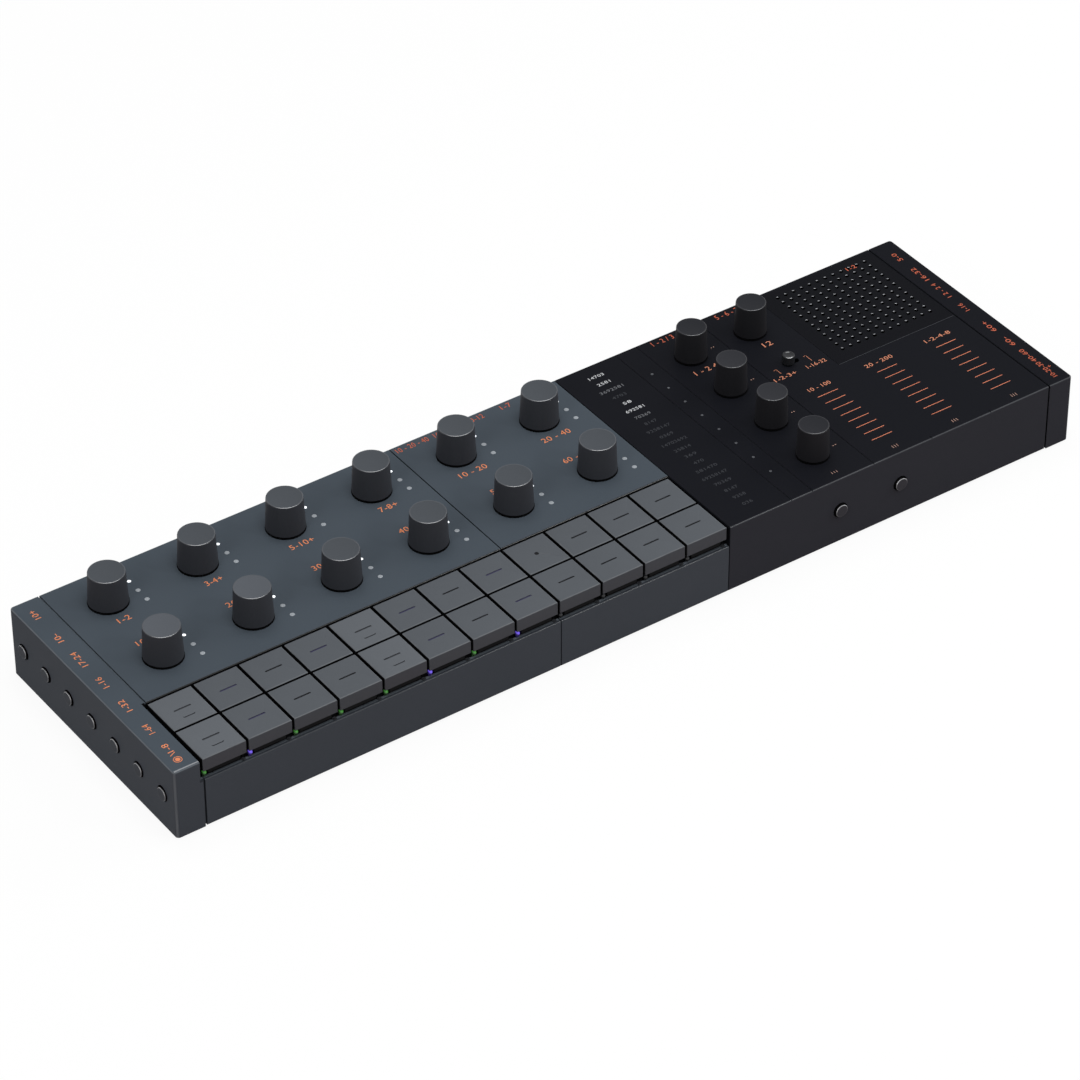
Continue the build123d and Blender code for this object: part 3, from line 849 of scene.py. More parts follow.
@dataclass(frozen=True)
class Rubber(Finish):
    """Matt rubber with dust in its pores."""

    dust: Colour = (120, 118, 112)

    def look(self, surface: Surface) -> Look:
        """What feeds the shader's sockets.

        Args:
            surface: The material's node tree.

        Returns:
            Values and links of the sockets, by name.
        """
        pores = surface.noise(0.35, detail=4)
        dust = surface.noise(4, detail=3).over(0.55, 0.8)
        colour = surface.shaded(self.colour, 0.85 + pores * 0.3)
        return {
            "base_color": surface.mixed(dust * 0.15, colour, self.dust),
            "roughness": 0.8 + pores * 0.12,
            "specular_ior_level": 0.15,
            "normal": surface.relief(pores, 0.02),
        }


@dataclass(frozen=True)
class Board(Finish):
    """Circuit board below and black plastic components above a height."""

    parts: Colour
    level: float  # height of the board's upper face

    def look(self, surface: Surface) -> Look:
        """What feeds the shader's sockets.

        Args:
            surface: The material's node tree.

        Returns:
            Values and links of the sockets, by name.
        """
        height = surface.axes(surface.place)[2]
        weave = surface.noise(0.9, detail=2, stretch=(1, 4, 1))
        upper = height.over(self.level + 0.05, self.level + 0.1)
        laminate = surface.shaded(self.colour, 0.85 + weave * 0.3)
        return {
            "base_color": surface.mixed(upper, laminate, self.parts),
            "roughness": 0.35 + upper * 0.2 + weave * 0.1,
            "specular_ior_level": 0.3,
            "normal": surface.relief(weave, 0.01),
        }


KEY_LOW, KEY_HIGH = corners("front_key_1")[0], corners("back_key_12")[1]
BAY_LEFT, BAY_RIGHT, BAY_REAR = KEY_LOW.x - 1.5, KEY_HIGH.x + 1.2, KEY_HIGH.y + 1.3
BAY_FRONT, BAY_FLOOR = FRONT + 0.9, CASE_LOW.z + 3
SEAM_LOW = Vector((LEFT_LOW.x + 5, FRONT + 0.3, 1.5))
SEAM_HIGH = Vector((RIGHT_HIGH.x - 5, REAR + 1, PANEL_TOP - 0.4))
INNER_REAR, INNER_TOP, LIP = REAR - 0.4, PANEL_TOP - 4, PANEL_TOP - 0.5
GAP_SHADE, SEAM_SHADE, WALL_SHADE = (9, 9, 11), (46, 51, 57), (6, 6, 7)
GREY_PAINTED_BOXES = (
    # Painted shade in the seams and inside the grey case below the panel.
    PaintedLightBox(SEAM_LOW, (SYNTH_RIGHT, INNER_REAR, SEAM_HIGH.z), SEAM_SHADE),
    # Painted light: paler colour in the left seam behind the key bay.
    PaintedLightBox((SEAM_LOW.x, BAY_REAR, SEAM_LOW.z), (BAY_LEFT + 4, INNER_REAR, SEAM_HIGH.z), (88, 96, 104)),
    # Painted shade inside the left end cap.
    PaintedLightBox((LEFT_LOW.x + 0.4, FRONT + 4, SEAM_LOW.z), (SEAM_LOW.x, REAR - 4, INNER_TOP), (8, 8, 9)),
    # Painted shade along the top of the front wall, under the keys' overhang.
    PaintedLightBox((BAY_LEFT, FRONT - 1, 18.3), (BAY_RIGHT, FRONT + 1, 20), (50, 54, 60)),
    # Painted shade in the key bay.
    PaintedLightBox((BAY_LEFT, BAY_FRONT, BAY_FLOOR), (BAY_RIGHT, BAY_REAR, PANEL_TOP - 0.1), GAP_SHADE),
    # Painted shade: a dark strip on the panel along the rear of the key bay.
    PaintedLightBox((BAY_LEFT + 0.2, BAY_REAR - 0.3, PANEL_TOP - 1), (BAY_RIGHT, BAY_REAR + 0.15, 30), GAP_SHADE),
    # Painted light: the bay floor in front of the keys paler than its shade.
    PaintedLightBox((BAY_LEFT, BAY_FRONT, BAY_FLOOR), (BAY_RIGHT, KEY_LOW.y + 1.5, 21), (88, 94, 101)),
    # Painted highlight along the front top edge of the left end cap.
    PaintedLightBox((LEFT_LOW.x + 0.6, FRONT + 0.5, LIP), (SEAM_LOW.x + 4.6, FRONT + 0.95, 30), (145, 148, 152)),
)
# Painted shade on the keys' sides and skirts, in the gaps between the keys.
KEY_SIDES = PaintedLightBox(
    (KEY_LOW.x - 1, KEY_LOW.y + 0.4, 0), (KEY_HIGH.x + 1, KEY_HIGH.y + 1, KEY_HIGH.z - 0.35), WALL_SHADE
)
# Grey shell: painted highlight on rounded edges and painted shade on upright faces.
GREY_SHELL = Plastic(
    "grey_shell", (71, 79, 87), (92, 98, 104), upright=(67, 73, 80), edge_coat=0.6, hollows=GREY_PAINTED_BOXES
)
# Black shell: upright faces painted lighter than the top, painted highlight on rounded edges.
BLACK_SHELL = Plastic(
    "black_shell", (20, 21, 26), (70, 72, 76), upright=(50, 52, 58), specular=0.03, edge_coat=0.4,
    hollows=(
        # Painted shade in the seams and inside the black case.
        PaintedLightBox(SEAM_LOW, SEAM_HIGH, (17, 18, 22)),
        PaintedLightBox((SYNTH_RIGHT + 2, FRONT + 0.4, 5), (SEAM_HIGH.x, INNER_REAR, INNER_TOP), WALL_SHADE),
        PaintedLightBox((SEAM_HIGH.x, FRONT + 4, 5), (RIGHT_HIGH.x - 0.4, REAR - 4, INNER_TOP), WALL_SHADE),
    ),
)  # fmt: skip
# Grille: painted highlight on the rear lip of each hole, painted shade down in the holes.
GRILLE_PLASTIC = Plastic(
    "grille_plastic", (20, 21, 26), specular=0.03, gleam=(176, 178, 182),
    hollows=(PaintedLightBox((SYNTH_RIGHT, FRONT, 0), (RIGHT_HIGH.x, REAR, PANEL_TOP - 0.03), (5, 5, 6)),),
)  # fmt: skip
# Keys: painted highlight on rounded edges, painted shade on the sides.
KEY_PLASTIC = Plastic(
    "key_plastic", (87, 91, 96), (108, 112, 116), upright=(72, 75, 80), clouds=0.08, hollows=(KEY_SIDES,)
)
KEY_PALE = replace(KEY_PLASTIC, name="key_pale", colour=(97, 101, 106), upright=(70, 72, 77))
# Knobs: sides painted darker than the crown as shade.
KNOB_PLASTIC = Plastic("knob_plastic", (75, 79, 84), upright=(61, 63, 68), grain=0.3)
# A paler copy of the same knob plastic: painted light.
KNOB_PAINTED_LIGHT = replace(KNOB_PLASTIC, name="knob_pale", colour=(88, 92, 98))
# Rim with a painted highlight at its front.
KNOB_RIM = replace(KNOB_PLASTIC, name="knob_rim", colour=(80, 83, 88), gleam=(226, 228, 231), coat=0.4)
SMALL_KNOB_PLASTIC = replace(
    KNOB_PLASTIC, name="small_knob_plastic", colour=(42, 43, 47), upright=(38, 38, 41), specular=0.04
)
# A paler copy of the same small knob plastic: painted light.
SMALL_KNOB_PAINTED_LIGHT = replace(SMALL_KNOB_PLASTIC, name="small_knob_pale", colour=(49, 50, 54))
# Small rim with a painted highlight at its front.
SMALL_KNOB_RIM = replace(
    KNOB_RIM, name="small_knob_rim", colour=(48, 49, 53), upright=SMALL_KNOB_PLASTIC.upright,
    gleam=(160, 162, 165), coat=0.3,
)  # fmt: skip
# Black standing in for the shade under the knobs and on the buttons' sides: painted shade.
PAINTED_GAP_SHADE = Plastic("gap_black", (9, 9, 10), specular=0.02)
# Buttons: the bright edge colour is a painted highlight on the heads' rims.
LEFT_BUTTON = Plastic("left_button", (66, 71, 77), (196, 198, 200), edge_coat=0.8, grain=0.3)
BUTTON_PLASTIC = replace(
    LEFT_BUTTON, name="button_plastic", colour=(58, 59, 64), edge=(190, 192, 195), specular=0.04
)
BASE_PLASTIC = Plastic("base_plastic", (32, 33, 35), relief=0.03, grain=0.7)
# Switch cap with a painted highlight on its front edge.
SWITCH_PLASTIC = Plastic(
    "switch_plastic", (38, 39, 42), gleam=(236, 238, 240), specular=0.1, roughness=0.3, coat=0.1
)


class Inks(Enum):
    """The inks and paints of the marks."""

    MARK_DARK = (18, 19, 22)
    MARK_SOFT = (52, 54, 58)
    MARK_VIOLET = (52, 50, 78)
    ORANGE_INK = (226, 138, 96)
    RED_INK = (196, 100, 74)
    SALMON_INK = (214, 140, 110)
    LINE_INK = (226, 136, 106)
    WHITE_INK = (205, 207, 210)
    SILVER_INK = (108, 110, 114)
    DIM_INK = (51, 53, 58)
    PALE_INK = (178, 142, 128)

    def material(self) -> Material:
        """Build the material."""
        return Ink(self.name.lower(), self.value).material()


# ---- Keys ----
class Mark(Enum):
    """What is cut into a key's top."""

    LINE = "line"
    TRAY = "line over a tray"
    DOT = "dot"


@dataclass
class KeyBed:
    """Twenty-four square keys in two rows, each with an engraved mark."""

    soft_edge: float = 0.12  # width of the rounding on the keys' edges
    line_length: float = 6.0
    line_width: float = 0.62
    tray_length: float = 4.2
    tray_lip: float = 0.55  # how far the tray's ends turn up
    tray_width: float = 0.4
    tray_drop: float = 4.3  # from the line to the tray
    dot_radius: float = 0.75
    cut_depth: float = 0.3
    inlay: float = 0.12  # thickness of the paint in a cut
    tray_columns: tuple[int, ...] = (1, 5)
    dot_key: str = "back_key_9"
    violet_marks: frozenset[tuple[str, int]] = frozenset(
        [("back", column) for column in (2, 4, 6, 8)] + [("front", column) for column in (2, 6, 8)]
    )

    def strokes(self, mark: Mark) -> list[tuple[list[Place], float]]:
        """Outlines of a mark's strokes, each with its place in front of the middle of the key.

        Args:
            mark: The mark.

        Returns:
            Outlines and places along Y.
        """
        if mark is Mark.DOT:
            return [(arc(self.dot_radius, 0, 1, 24)[:-1], 0)]
        line = (capsule(self.line_length, self.line_width), 0)
        return [line, (self.tray(), -self.tray_drop)] if mark is Mark.TRAY else [line]

    def tray(self) -> list[Place]:
        """Outline of a shallow tray: a bar whose ends turn up.

        Returns:
            The outline.
        """
        half, lip, width = self.tray_length / 2, self.tray_lip, self.tray_width
        right = [(half - width, 0), (half, width), (half, lip), (half - width, lip), (half - width, width)]
        return [(-x, y) for x, y in right[2::-1]] + right + [(-x, y) for x, y in right[:2:-1]]

    def mark_shape(self, mark: Mark, height: float) -> Shape:
        """Prisms of a mark's strokes, from the bottom of its cut up to a height over the key's top.

        Args:
            mark: The mark.
            height: Height of the prisms' tops over the key's.

        Returns:
            The prisms.
        """
        shape = bmesh.new()
        for outline, y in self.strokes(mark):
            join(shape, prism(outline, -self.cut_depth, height), at(0, y, 0))
        return shape

    def cap(self, mark: Mark) -> Shape:
        """A key with softened edges and its mark cut in, about the middle of its top.

        Args:
            mark: The mark.

        Returns:
            The key.
        """
        shape = cad_shape("front_key_1")
        shape.transform(above("front_key_1", top("front_key_1")).inverted())
        limit = {"limit_method": "ANGLE", "angle_limit": math.radians(30)}
        shape = modified(shape, "BEVEL", width=self.soft_edge, segments=2, **limit)
        return carved(shape, self.mark_shape(mark, 1.0))

    def build(self) -> None:
        """Build the keys and the paint in their marks."""
        caps = {mark: self.cap(mark) for mark in Mark}
        inlays = {mark: self.mark_shape(mark, self.inlay - self.cut_depth) for mark in Mark}
        plastic, pale = KEY_PLASTIC.material(), KEY_PALE.material()
        dark, soft, violet = (ink.material() for ink in (Inks.MARK_DARK, Inks.MARK_SOFT, Inks.MARK_VIOLET))
        for row in ("front", "back"):
            for column in range(1, KEY_COLUMNS + 1):
                node = f"{row}_key_{column}"
                mark = Mark.TRAY if column in self.tray_columns else Mark.LINE
                mark = Mark.DOT if node == self.dot_key else mark
                paint = violet if (row, column) in self.violet_marks else dark
                finishes = [pale, soft] if mark is Mark.TRAY else [plastic, paint]
                there = above(node, top(node))
                shape = bmesh.new()
                join(shape, caps[mark], there, 0)
                join(shape, inlays[mark], there, 1)
                piece(f"{node}_cap", shape, finishes, "key_plastic", node, [node], smooth=20)


class Glow(Enum):
    """How a lamp shows."""

    DARK = Lens("lens_dark", (40, 42, 46))
    GREY = Lens("lens_grey", (146, 152, 158))
    DIM = Lens("lens_dim", (66, 69, 74))
    WHITE = Lens("lens_white", (240, 244, 248), glow=0.9)
    GREEN = Lens("lens_green", (70, 140, 60), glow=0.5)
    VIOLET = Lens("lens_violet", (112, 90, 226), glow=0.8)


@dataclass
class KeyLamps:
    """Light pipes on the floor of the key bay, seen between the keys' front corners."""

    radius: float = 0.85
    stand: float = 0.25  # foot of a pipe below its ball
    set_back: float = 1.9  # from the front of the case
    sideways: float = 1.5  # right of the joint between two keys
    pit_radius: float = 0.75
    pit_offset: float = -1.1
    pit_set_back: float = 1.35
    floor_drop: float = 7.8  # from the keys' tops to the floor: the skirts, their travel and some room
    lit: dict[int, Glow] = field(
        default_factory=lambda: {
            0: Glow.GREEN, 1: Glow.VIOLET, 2: Glow.GREEN, 3: Glow.GREEN,
            4: Glow.GREEN, 5: Glow.VIOLET, 6: Glow.GREEN, 7: Glow.VIOLET,
        }
    )  # fmt: skip

    def build(self, glows: dict[Glow, Material]) -> None:
        """Build one lamp at each joint between keys, and the rimmed pit beside it.

        Args:
            glows: The lamps' materials.
        """
        floor = top("front_key_1") - self.floor_drop
        r, h = self.radius, self.stand
        ball = [(x, h + r + y) for x, y in arc(r, -1 / 8, 1 / 4, 9)]
        lamp = lathe([(0, 0), (r * 0.6, 0), *ball[:-1], (0, h + 2 * r)], 20)
        rim = self.pit_radius
        pit = lathe([(0, 0.02), (rim * 0.6, 0.02), (rim * 0.8, 0.2), (rim, 0.2), (rim, 0), (0, 0)], 16)
        shapes: dict[Glow, Shape] = {}
        pits = bmesh.new()
        left = corners("front_key_1")[0].x - (GRID - extent("front_key_1").x) / 2
        for joint in range(KEY_COLUMNS + 1):
            x = left + joint * GRID
            if joint < KEY_COLUMNS:
                shape = shapes.setdefault(self.lit.get(joint, Glow.DARK), bmesh.new())
                join(shape, lamp, at(x + self.sideways, FRONT + self.set_back, floor))
            if joint > 0:
                join(pits, pit, at(x + self.pit_offset, FRONT + self.pit_set_back, floor))
        for glow, shape in shapes.items():
            piece(f"key_lamps_{glow.name.lower()}", shape, [glows[glow]], "switch_plastic")
        piece("lamp_pits", pits, [Inks.MARK_SOFT.material()], "switch_plastic")


# ---- Knobs ----
@dataclass
class Knob:
    """A tapered turning knob with a softly rounded rim, on its shaft, over a black disc of painted shade."""

    node: str
    plastic: Material
    rim: Material
    gap: Material
    taper: float  # how much narrower the crown is
    rim_width: float = 0.36
    foot: float = 0.3  # rounding at the base, in the shade
    dish: float = 0.06  # how far the crown's middle sinks
    dish_edge: float = 0.2  # width of the slope round it
    head: float = 11.4  # height of the turned part
    socket: float = 0.6  # how deep its underside is hollow
    shaft: float = 2.9  # radius, at the corners
    washer: float = 0.48  # depth of the painted-shade disc under the head
    segments: int = 72

    def profile(self, radius: float) -> list[Place]:
        """Half-section of the head, from its underside to its crown.

        Args:
            radius: Radius of its widest part.

        Returns:
            The half-section.
        """
        head, crown, rim = self.head, radius - self.taper, self.rim_width
        under = [(0, self.socket), (radius - 1.6, self.socket), (radius - 1.2, 0), (radius, 0)]
        dish = (crown - rim - self.dish_edge, head - self.dish)
        over = [(crown, head), (crown - rim, head), dish, (0, dish[1])]
        return eased(under + over, {3: self.foot, 4: rim}, 5)

    def build(self) -> None:
        """Build the head, the disc of painted shade under it, and the shaft."""
        radius = extent(self.node).x / 2
        profile = self.profile(radius)
        base = top(self.node) - self.head
        rim_start = next(i for i, (_, z) in enumerate(profile) if z > self.head / 2)
        shape = lathe(profile, self.segments, {0: 2, rim_start - 1: 0, rim_start: 1, len(profile) - 3: 0})
        # A black disc just wider than the head: painted shade in the gap under it.
        w = self.washer
        washer = lathe([(0, -w), (radius + 0.1, -w), (radius + 0.1, -0.08), (0, -0.08)], self.segments)
        join(shape, washer, finish=2)
        shape.transform(at(0, 0, base))
        shaft = arc(self.shaft, 0, 1, 6)[:-1]
        join(shape, prism(shaft, corners(self.node)[0].z, base + self.socket), finish=0)
        shape.transform(above(self.node))
        finishes = [self.plastic, self.rim, self.gap]
        piece(f"{self.node}_cap", shape, finishes, "knob_plastic", self.node, [self.node])


@dataclass
class KnobSet:
    """Twelve track knobs, four sound knobs and one effect knob."""

    track_taper: float = 0.5
    small_taper: float = 0.4
    # knobs given the paler copy of their plastic: painted light
    pale: frozenset[str] = frozenset((*TRACK_KNOBS[6:8], *SOUND_KNOBS[1:3]))

    def build(self) -> None:
        """Build all the knobs."""
        gap = PAINTED_GAP_SHADE.material()
        small = (SMALL_KNOB_PLASTIC, SMALL_KNOB_PAINTED_LIGHT, SMALL_KNOB_RIM)
        for nodes, finishes, taper in (
            (TRACK_KNOBS, (KNOB_PLASTIC, KNOB_PAINTED_LIGHT, KNOB_RIM), self.track_taper),
            ((*SOUND_KNOBS, "effect_knob"), small, self.small_taper),
        ):
            plastic, pale, rim = (finish.material() for finish in finishes)
            for node in nodes:
                Knob(node, pale if node in self.pale else plastic, rim, gap, taper).build()


# ---- Side buttons and switch ----
BUTTON_RADIUS = 2.25
STRIP_MARGIN = BUTTON_RADIUS + 1.6  # of a strip, past the middle of its last button


@dataclass
class ButtonRow:
    """Domed heads on one strip behind a side wall."""

    node: str
    outward: Vector  # direction that the heads face
    places: Sequence[float]  # along the wall
    radius: float = BUTTON_RADIUS
    dome: float = 0.3
    chamfer: float = 0.45  # how far the rounding reaches in from the rim
    bar: float = 1.2  # thickness of the strip
    strip_height: float = 4.0
    segments: int = 40

    def build(self, plastic: Material, skirt: Material) -> None:
        """Build the heads and the strip, which follows the CAD node's box.

        Args:
            plastic: Finish of the heads and the strip.
            skirt: Finish of the heads' sides, black as painted shade.
        """
        low, high = corners(self.node)
        reach = abs((high - low).dot(self.outward))
        r, tip, rim = self.radius, reach - self.bar, self.chamfer
        edge = eased([(0, 0), (r, 0), (r, tip), (r - 2 * rim, tip), (0, tip)], {2: rim}, 5)[2:]
        outline = [(min(x, r), tip - (tip - z) * self.dome / rim) for x, z in edge]
        head = lathe([(0, 0), (r, 0), *outline], self.segments, {0: 1, 2: 0})
        tilt = self.outward.to_track_quat("Z", "Y").to_matrix().to_4x4()
        along = 0 if self.outward.x == 0 else 1
        foot = middle(self.node) + self.outward * (self.bar - reach / 2)
        shape = bmesh.new()
        for place in self.places:
            foot[along] = place
            join(shape, head, at(*foot) @ tilt)
        for start, end in self.strips():
            first, last = foot.copy(), foot - self.outward * self.bar
            first[along], last[along] = start, end
            first.z, last.z = foot.z - self.strip_height / 2, foot.z + self.strip_height / 2
            bar = block([min(pair) for pair in zip(first, last)], [max(pair) for pair in zip(first, last)])
            join(shape, modified(bar, "BEVEL", width=0.2, segments=2))
        piece(f"{self.node}_heads", shape, [plastic, skirt], "button_plastic", self.node, [self.node])

    def strips(self) -> list[tuple[float, float]]:
        """Ends of each strip: a wide space between two heads parts one strip from the next.

        Returns:
            Start and end of each strip along the wall.
        """
        runs = [[self.places[0]]]
        for before, place in zip(self.places, self.places[1:]):
            if place - before > 3 * GRID:
                runs.append([])
            runs[-1].append(place)
        return [(run[0] - STRIP_MARGIN, run[-1] + STRIP_MARGIN) for run in runs]


@dataclass
class ModeSwitch:
    """The glossy cap of the slide switch, with its neck and the plate under the panel."""

    radius: float = 2.1
    height: float = 3.3
    dish: float = 0.25  # how far the middle of its top sinks
    edge: float = 0.6
    neck: float = 1.0
    plate: float = 0.8

    def build(self) -> None:
        """Build the switch."""
        node = "mode_switch"
        low, high = corners(node)
        r, h, neck, dish = self.radius, self.height, self.neck, self.height - self.dish
        base = high.z - h
        outline = [(0, 0), (r - 0.3, 0), (r, 0.3), (r, h), (r * 0.45, dish), (0, dish)]
        shape = lathe(eased(outline, {3: self.edge, 4: 0.4}, 6), 56)
        shape.transform(above(node, base))
        stalk = lathe([(0, low.z), (neck, low.z), (neck, base + 0.2), (0, base + 0.2)], 24)
        join(shape, stalk, above(node))
        plate = block(low, (high.x, high.y, low.z + self.plate))
        join(shape, modified(plate, "BEVEL", width=0.15, segments=2))
        piece(f"{node}_cap", shape, [SWITCH_PLASTIC.material()], "switch_plastic", node, [node])


# ---- Grille ----
@dataclass
class Grille:
    """A perforated plate: round holes with a countersunk mouth, in a square grid."""

    columns: int = 12
    rows: int = 12
    pitch_across: float = 3.31
    pitch_deep: float = 3.18
    hole: float = 0.6
    mouth: float = 0.78
    mouth_depth: float = 0.14
    sides: int = 16  # of each hole
    centre_x: float = 137.5
    centre_y: float = 24.78

    def tree(self, sizes: dict[str, float]) -> Growth:
        """Geometry Nodes tree that grows the plate about the middle of its top face.

        Args:
            sizes: Its named inputs.

        Returns:
            The tree.
        """
        kinds = {name: "Int" if isinstance(size, int) else "Float" for name, size in sizes.items()}
        tree = Growth("perforated_plate", **kinds)
        given, number, out = tree.given, tree.number, tree.out
        width, depth, thick = given["width"], given["depth"], given["thickness"]
        hole, mouth, mouth_depth, sides = given["hole"], given["mouth"], given["mouth_depth"], given["sides"]
        columns, rows = given["columns"], given["rows"]
        span_x = number("MULTIPLY", given["pitch_across"], number("SUBTRACT", columns, 1))
        span_y = number("MULTIPLY", given["pitch_deep"], number("SUBTRACT", rows, 1))
        grid = out("GeometryNodeMeshGrid", None, {0: span_x, 1: span_y, 2: columns, 3: rows})
        holes = tree.moved(grid, X=given["offset_x"], Y=given["offset_y"])
        border = out("GeometryNodeCurvePrimitiveQuadrilateral", None, {0: width, 1: depth})

        def sheet(radius: NodeSocket) -> NodeSocket:
            """A flat plate with a hole of that radius at each point of the grid.

            Args:
                radius: Radius of the holes.

            Returns:
                The plate.
            """
            ring = out("GeometryNodeCurvePrimitiveCircle", None, {"Resolution": sides, "Radius": radius})
            rings = tree.spread(holes, ring)
            return out("GeometryNodeFillCurve", None, {0: tree.joined(border, rings)})

        def tube(upper: NodeSocket, height: NodeSocket, drop: NodeSocket) -> NodeSocket:
            """The wall of a hole, as wide below as the hole.

            Args:
                upper: Its upper radius.
                height: Its height.
                drop: How far its middle lies below the plate.

            Returns:
                The wall.
            """
            size = {"Vertices": sides, "Radius Top": upper, "Radius Bottom": hole, "Depth": height}
            cone = out("GeometryNodeMeshCone", {"fill_type": "NONE"}, size)
            return tree.moved(cone, Z=number("MULTIPLY", drop, -1))

        def flipped(geometry: NodeSocket) -> NodeSocket:
            """Geometry turned inside out."""
            return out("GeometryNodeFlipFaces", None, {0: geometry})

        straight = number("SUBTRACT", thick, mouth_depth)
        liner = tree.joined(tube(mouth, mouth_depth, mouth_depth), tube(hole, straight, thick))
        size = out("ShaderNodeCombineXYZ", None, {0: width, 1: depth, 2: thick})
        slab = out("GeometryNodeMeshCube", None, {0: size})
        facing = tree.node("ShaderNodeSeparateXYZ", None, {0: out("GeometryNodeInputNormal")}).outputs["Z"]
        level = number("GREATER_THAN", number("ABSOLUTE", facing), 0.5)
        walls = out("GeometryNodeDeleteGeometry", {"domain": "FACE"}, {"Geometry": slab, "Selection": level})
        whole = tree.joined(
            sheet(mouth),
            tree.moved(flipped(sheet(hole)), Z=number("MULTIPLY", thick, -1)),
            tree.spread(holes, flipped(liner)),
            tree.moved(walls, Z=number("MULTIPLY", thick, -0.5)),
        )
        tree.end(out("GeometryNodeMergeByDistance", None, {"Geometry": whole, "Distance": 0.003}))
        return tree

    def build(self) -> None:
        """Build the plate in the place of the CAD node."""
        sizes = asdict(self)
        size, centre = extent("speaker_grille"), middle("speaker_grille")
        sizes |= {"width": size.x, "depth": size.y, "thickness": size.z}
        sizes |= {"offset_x": sizes.pop("centre_x") - centre.x, "offset_y": sizes.pop("centre_y") - centre.y}
        finish = GRILLE_PLASTIC.material()
        shape = self.tree(sizes).grow([], finish, **sizes)
        shape.transform(above("speaker_grille", top("speaker_grille")))
        piece("grille_plate", shape, [finish], "black_shell", replaced=["speaker_grille"], smooth=30)


# ---- Repeated small pieces ----
@dataclass
class Repeater:
    """One small piece set at many points, each with its own turn."""

    name: str
    seed: int = 7

    def tree(self) -> Growth:
        """Geometry Nodes tree that sets a piece at each point.

        Returns:
            The tree.
        """
        tree = Growth(self.name, part="Object", turn="Float", seed="Int")
        given = tree.given
        source = tree.node("GeometryNodeObjectInfo", {"transform_space": "ORIGINAL"}, {0: given["part"]})
        spread = {2: 0.0, 3: given["turn"], "Seed": given["seed"]}
        angle = tree.node("FunctionNodeRandomValue", {"data_type": "FLOAT"}, spread).outputs[1]
        turn = tree.out("ShaderNodeCombineXYZ", None, {"Z": angle})
        tree.end(tree.spread(given["points"], source.outputs["Geometry"], Rotation=turn))
        return tree

    def grow(self, part: Shape, places: Iterable[Vector], finish: Material, turn: float = 0.0) -> Shape:
        """Set the part at each place.

        Args:
            part: The small piece about its own origin, which is used up.
            places: Where it goes.
            finish: Its material.
            turn: Largest turn about Z, in radians.

        Returns:
            All the copies as one shape.
        """
        holder = scratch_object(part, f"{self.name}_part")
        shape = self.tree().grow(places, finish, part=holder, turn=turn, seed=self.seed)
        bpy.data.objects.remove(holder)
        return shape


def island_middles(node: str) -> list[Vector]:
    """Middle of each separate solid of a CAD node, with Z at its lowest point.

    Args:
        node: The node's name.

    Returns:
        The places, in order along X.
    """
    shape = cad_shape(node)
    left = set(shape.verts)
    middles = []
    while left:
        found = [left.pop()]
        for vertex in found:
            for edge in vertex.link_edges:
                other = edge.other_vert(vertex)
                if other in left:
                    left.remove(other)
                    found.append(other)
        low, high = (Vector([pick(v.co[i] for v in found) for i in range(3)]) for pick in (min, max))
        middles.append(Vector(((low.x + high.x) / 2, (low.y + high.y) / 2, low.z)))
    shape.free()
    return sorted(middles, key=tuple)


@dataclass
class Underside:
    """Screws in the base cover and the rubber feet."""

    screw_head: float = 2.3
    screw_shank: float = 1.2
    screw_length: float = 7.2
    recess: float = 0.9  # half-length of the cross recess
    recess_width: float = 0.5
    recess_depth: float = 0.8
    foot_radius: float = 5.0
    foot_height: float = 0.8

    def screw(self) -> Shape:
        """A countersunk screw with a cross recess, head down.

        Returns:
            The screw.
        """
        head, shank, length = self.screw_head, self.screw_shank, self.screw_length
        outline = [(0, 0), (head, 0), (head, 0.15), (shank, head - shank), (shank, length), (0, length)]
        shape = lathe(outline, 20)
        for x, y in ((self.recess, self.recess_width / 2), (self.recess_width / 2, self.recess)):
            shape = carved(shape, block((-x, -y, -1), (x, y, self.recess_depth)))
        return shape

    def foot(self) -> Shape:
        """A round pad with a soft lower edge and a shallow ring in its sole.

        Returns:
            The foot.
        """
        r, h = self.foot_radius, self.foot_height
        sole = [(0, 0.15), (r * 0.55, 0.15), (r * 0.6, 0), (r, 0), (r, h), (0, h)]
        return lathe(eased(sole, {3: 0.3}, 3), 48)

    def build(self) -> None:
        """Build the screws and the feet."""
        steel = Metal("screw_steel", (120, 120, 122)).material()
        screws = Repeater("screw_set").grow(self.screw(), island_middles("screws"), steel, math.pi)
        piece("base_screws", screws, [steel], "screw_steel", replaced=["screws"])
        rubber = Rubber("foot_rubber", (26, 26, 27)).material()
        feet = Repeater("foot_set").grow(self.foot(), island_middles("feet"), rubber)
        piece("rubber_feet", feet, [rubber], "foot_rubber", replaced=["feet"])


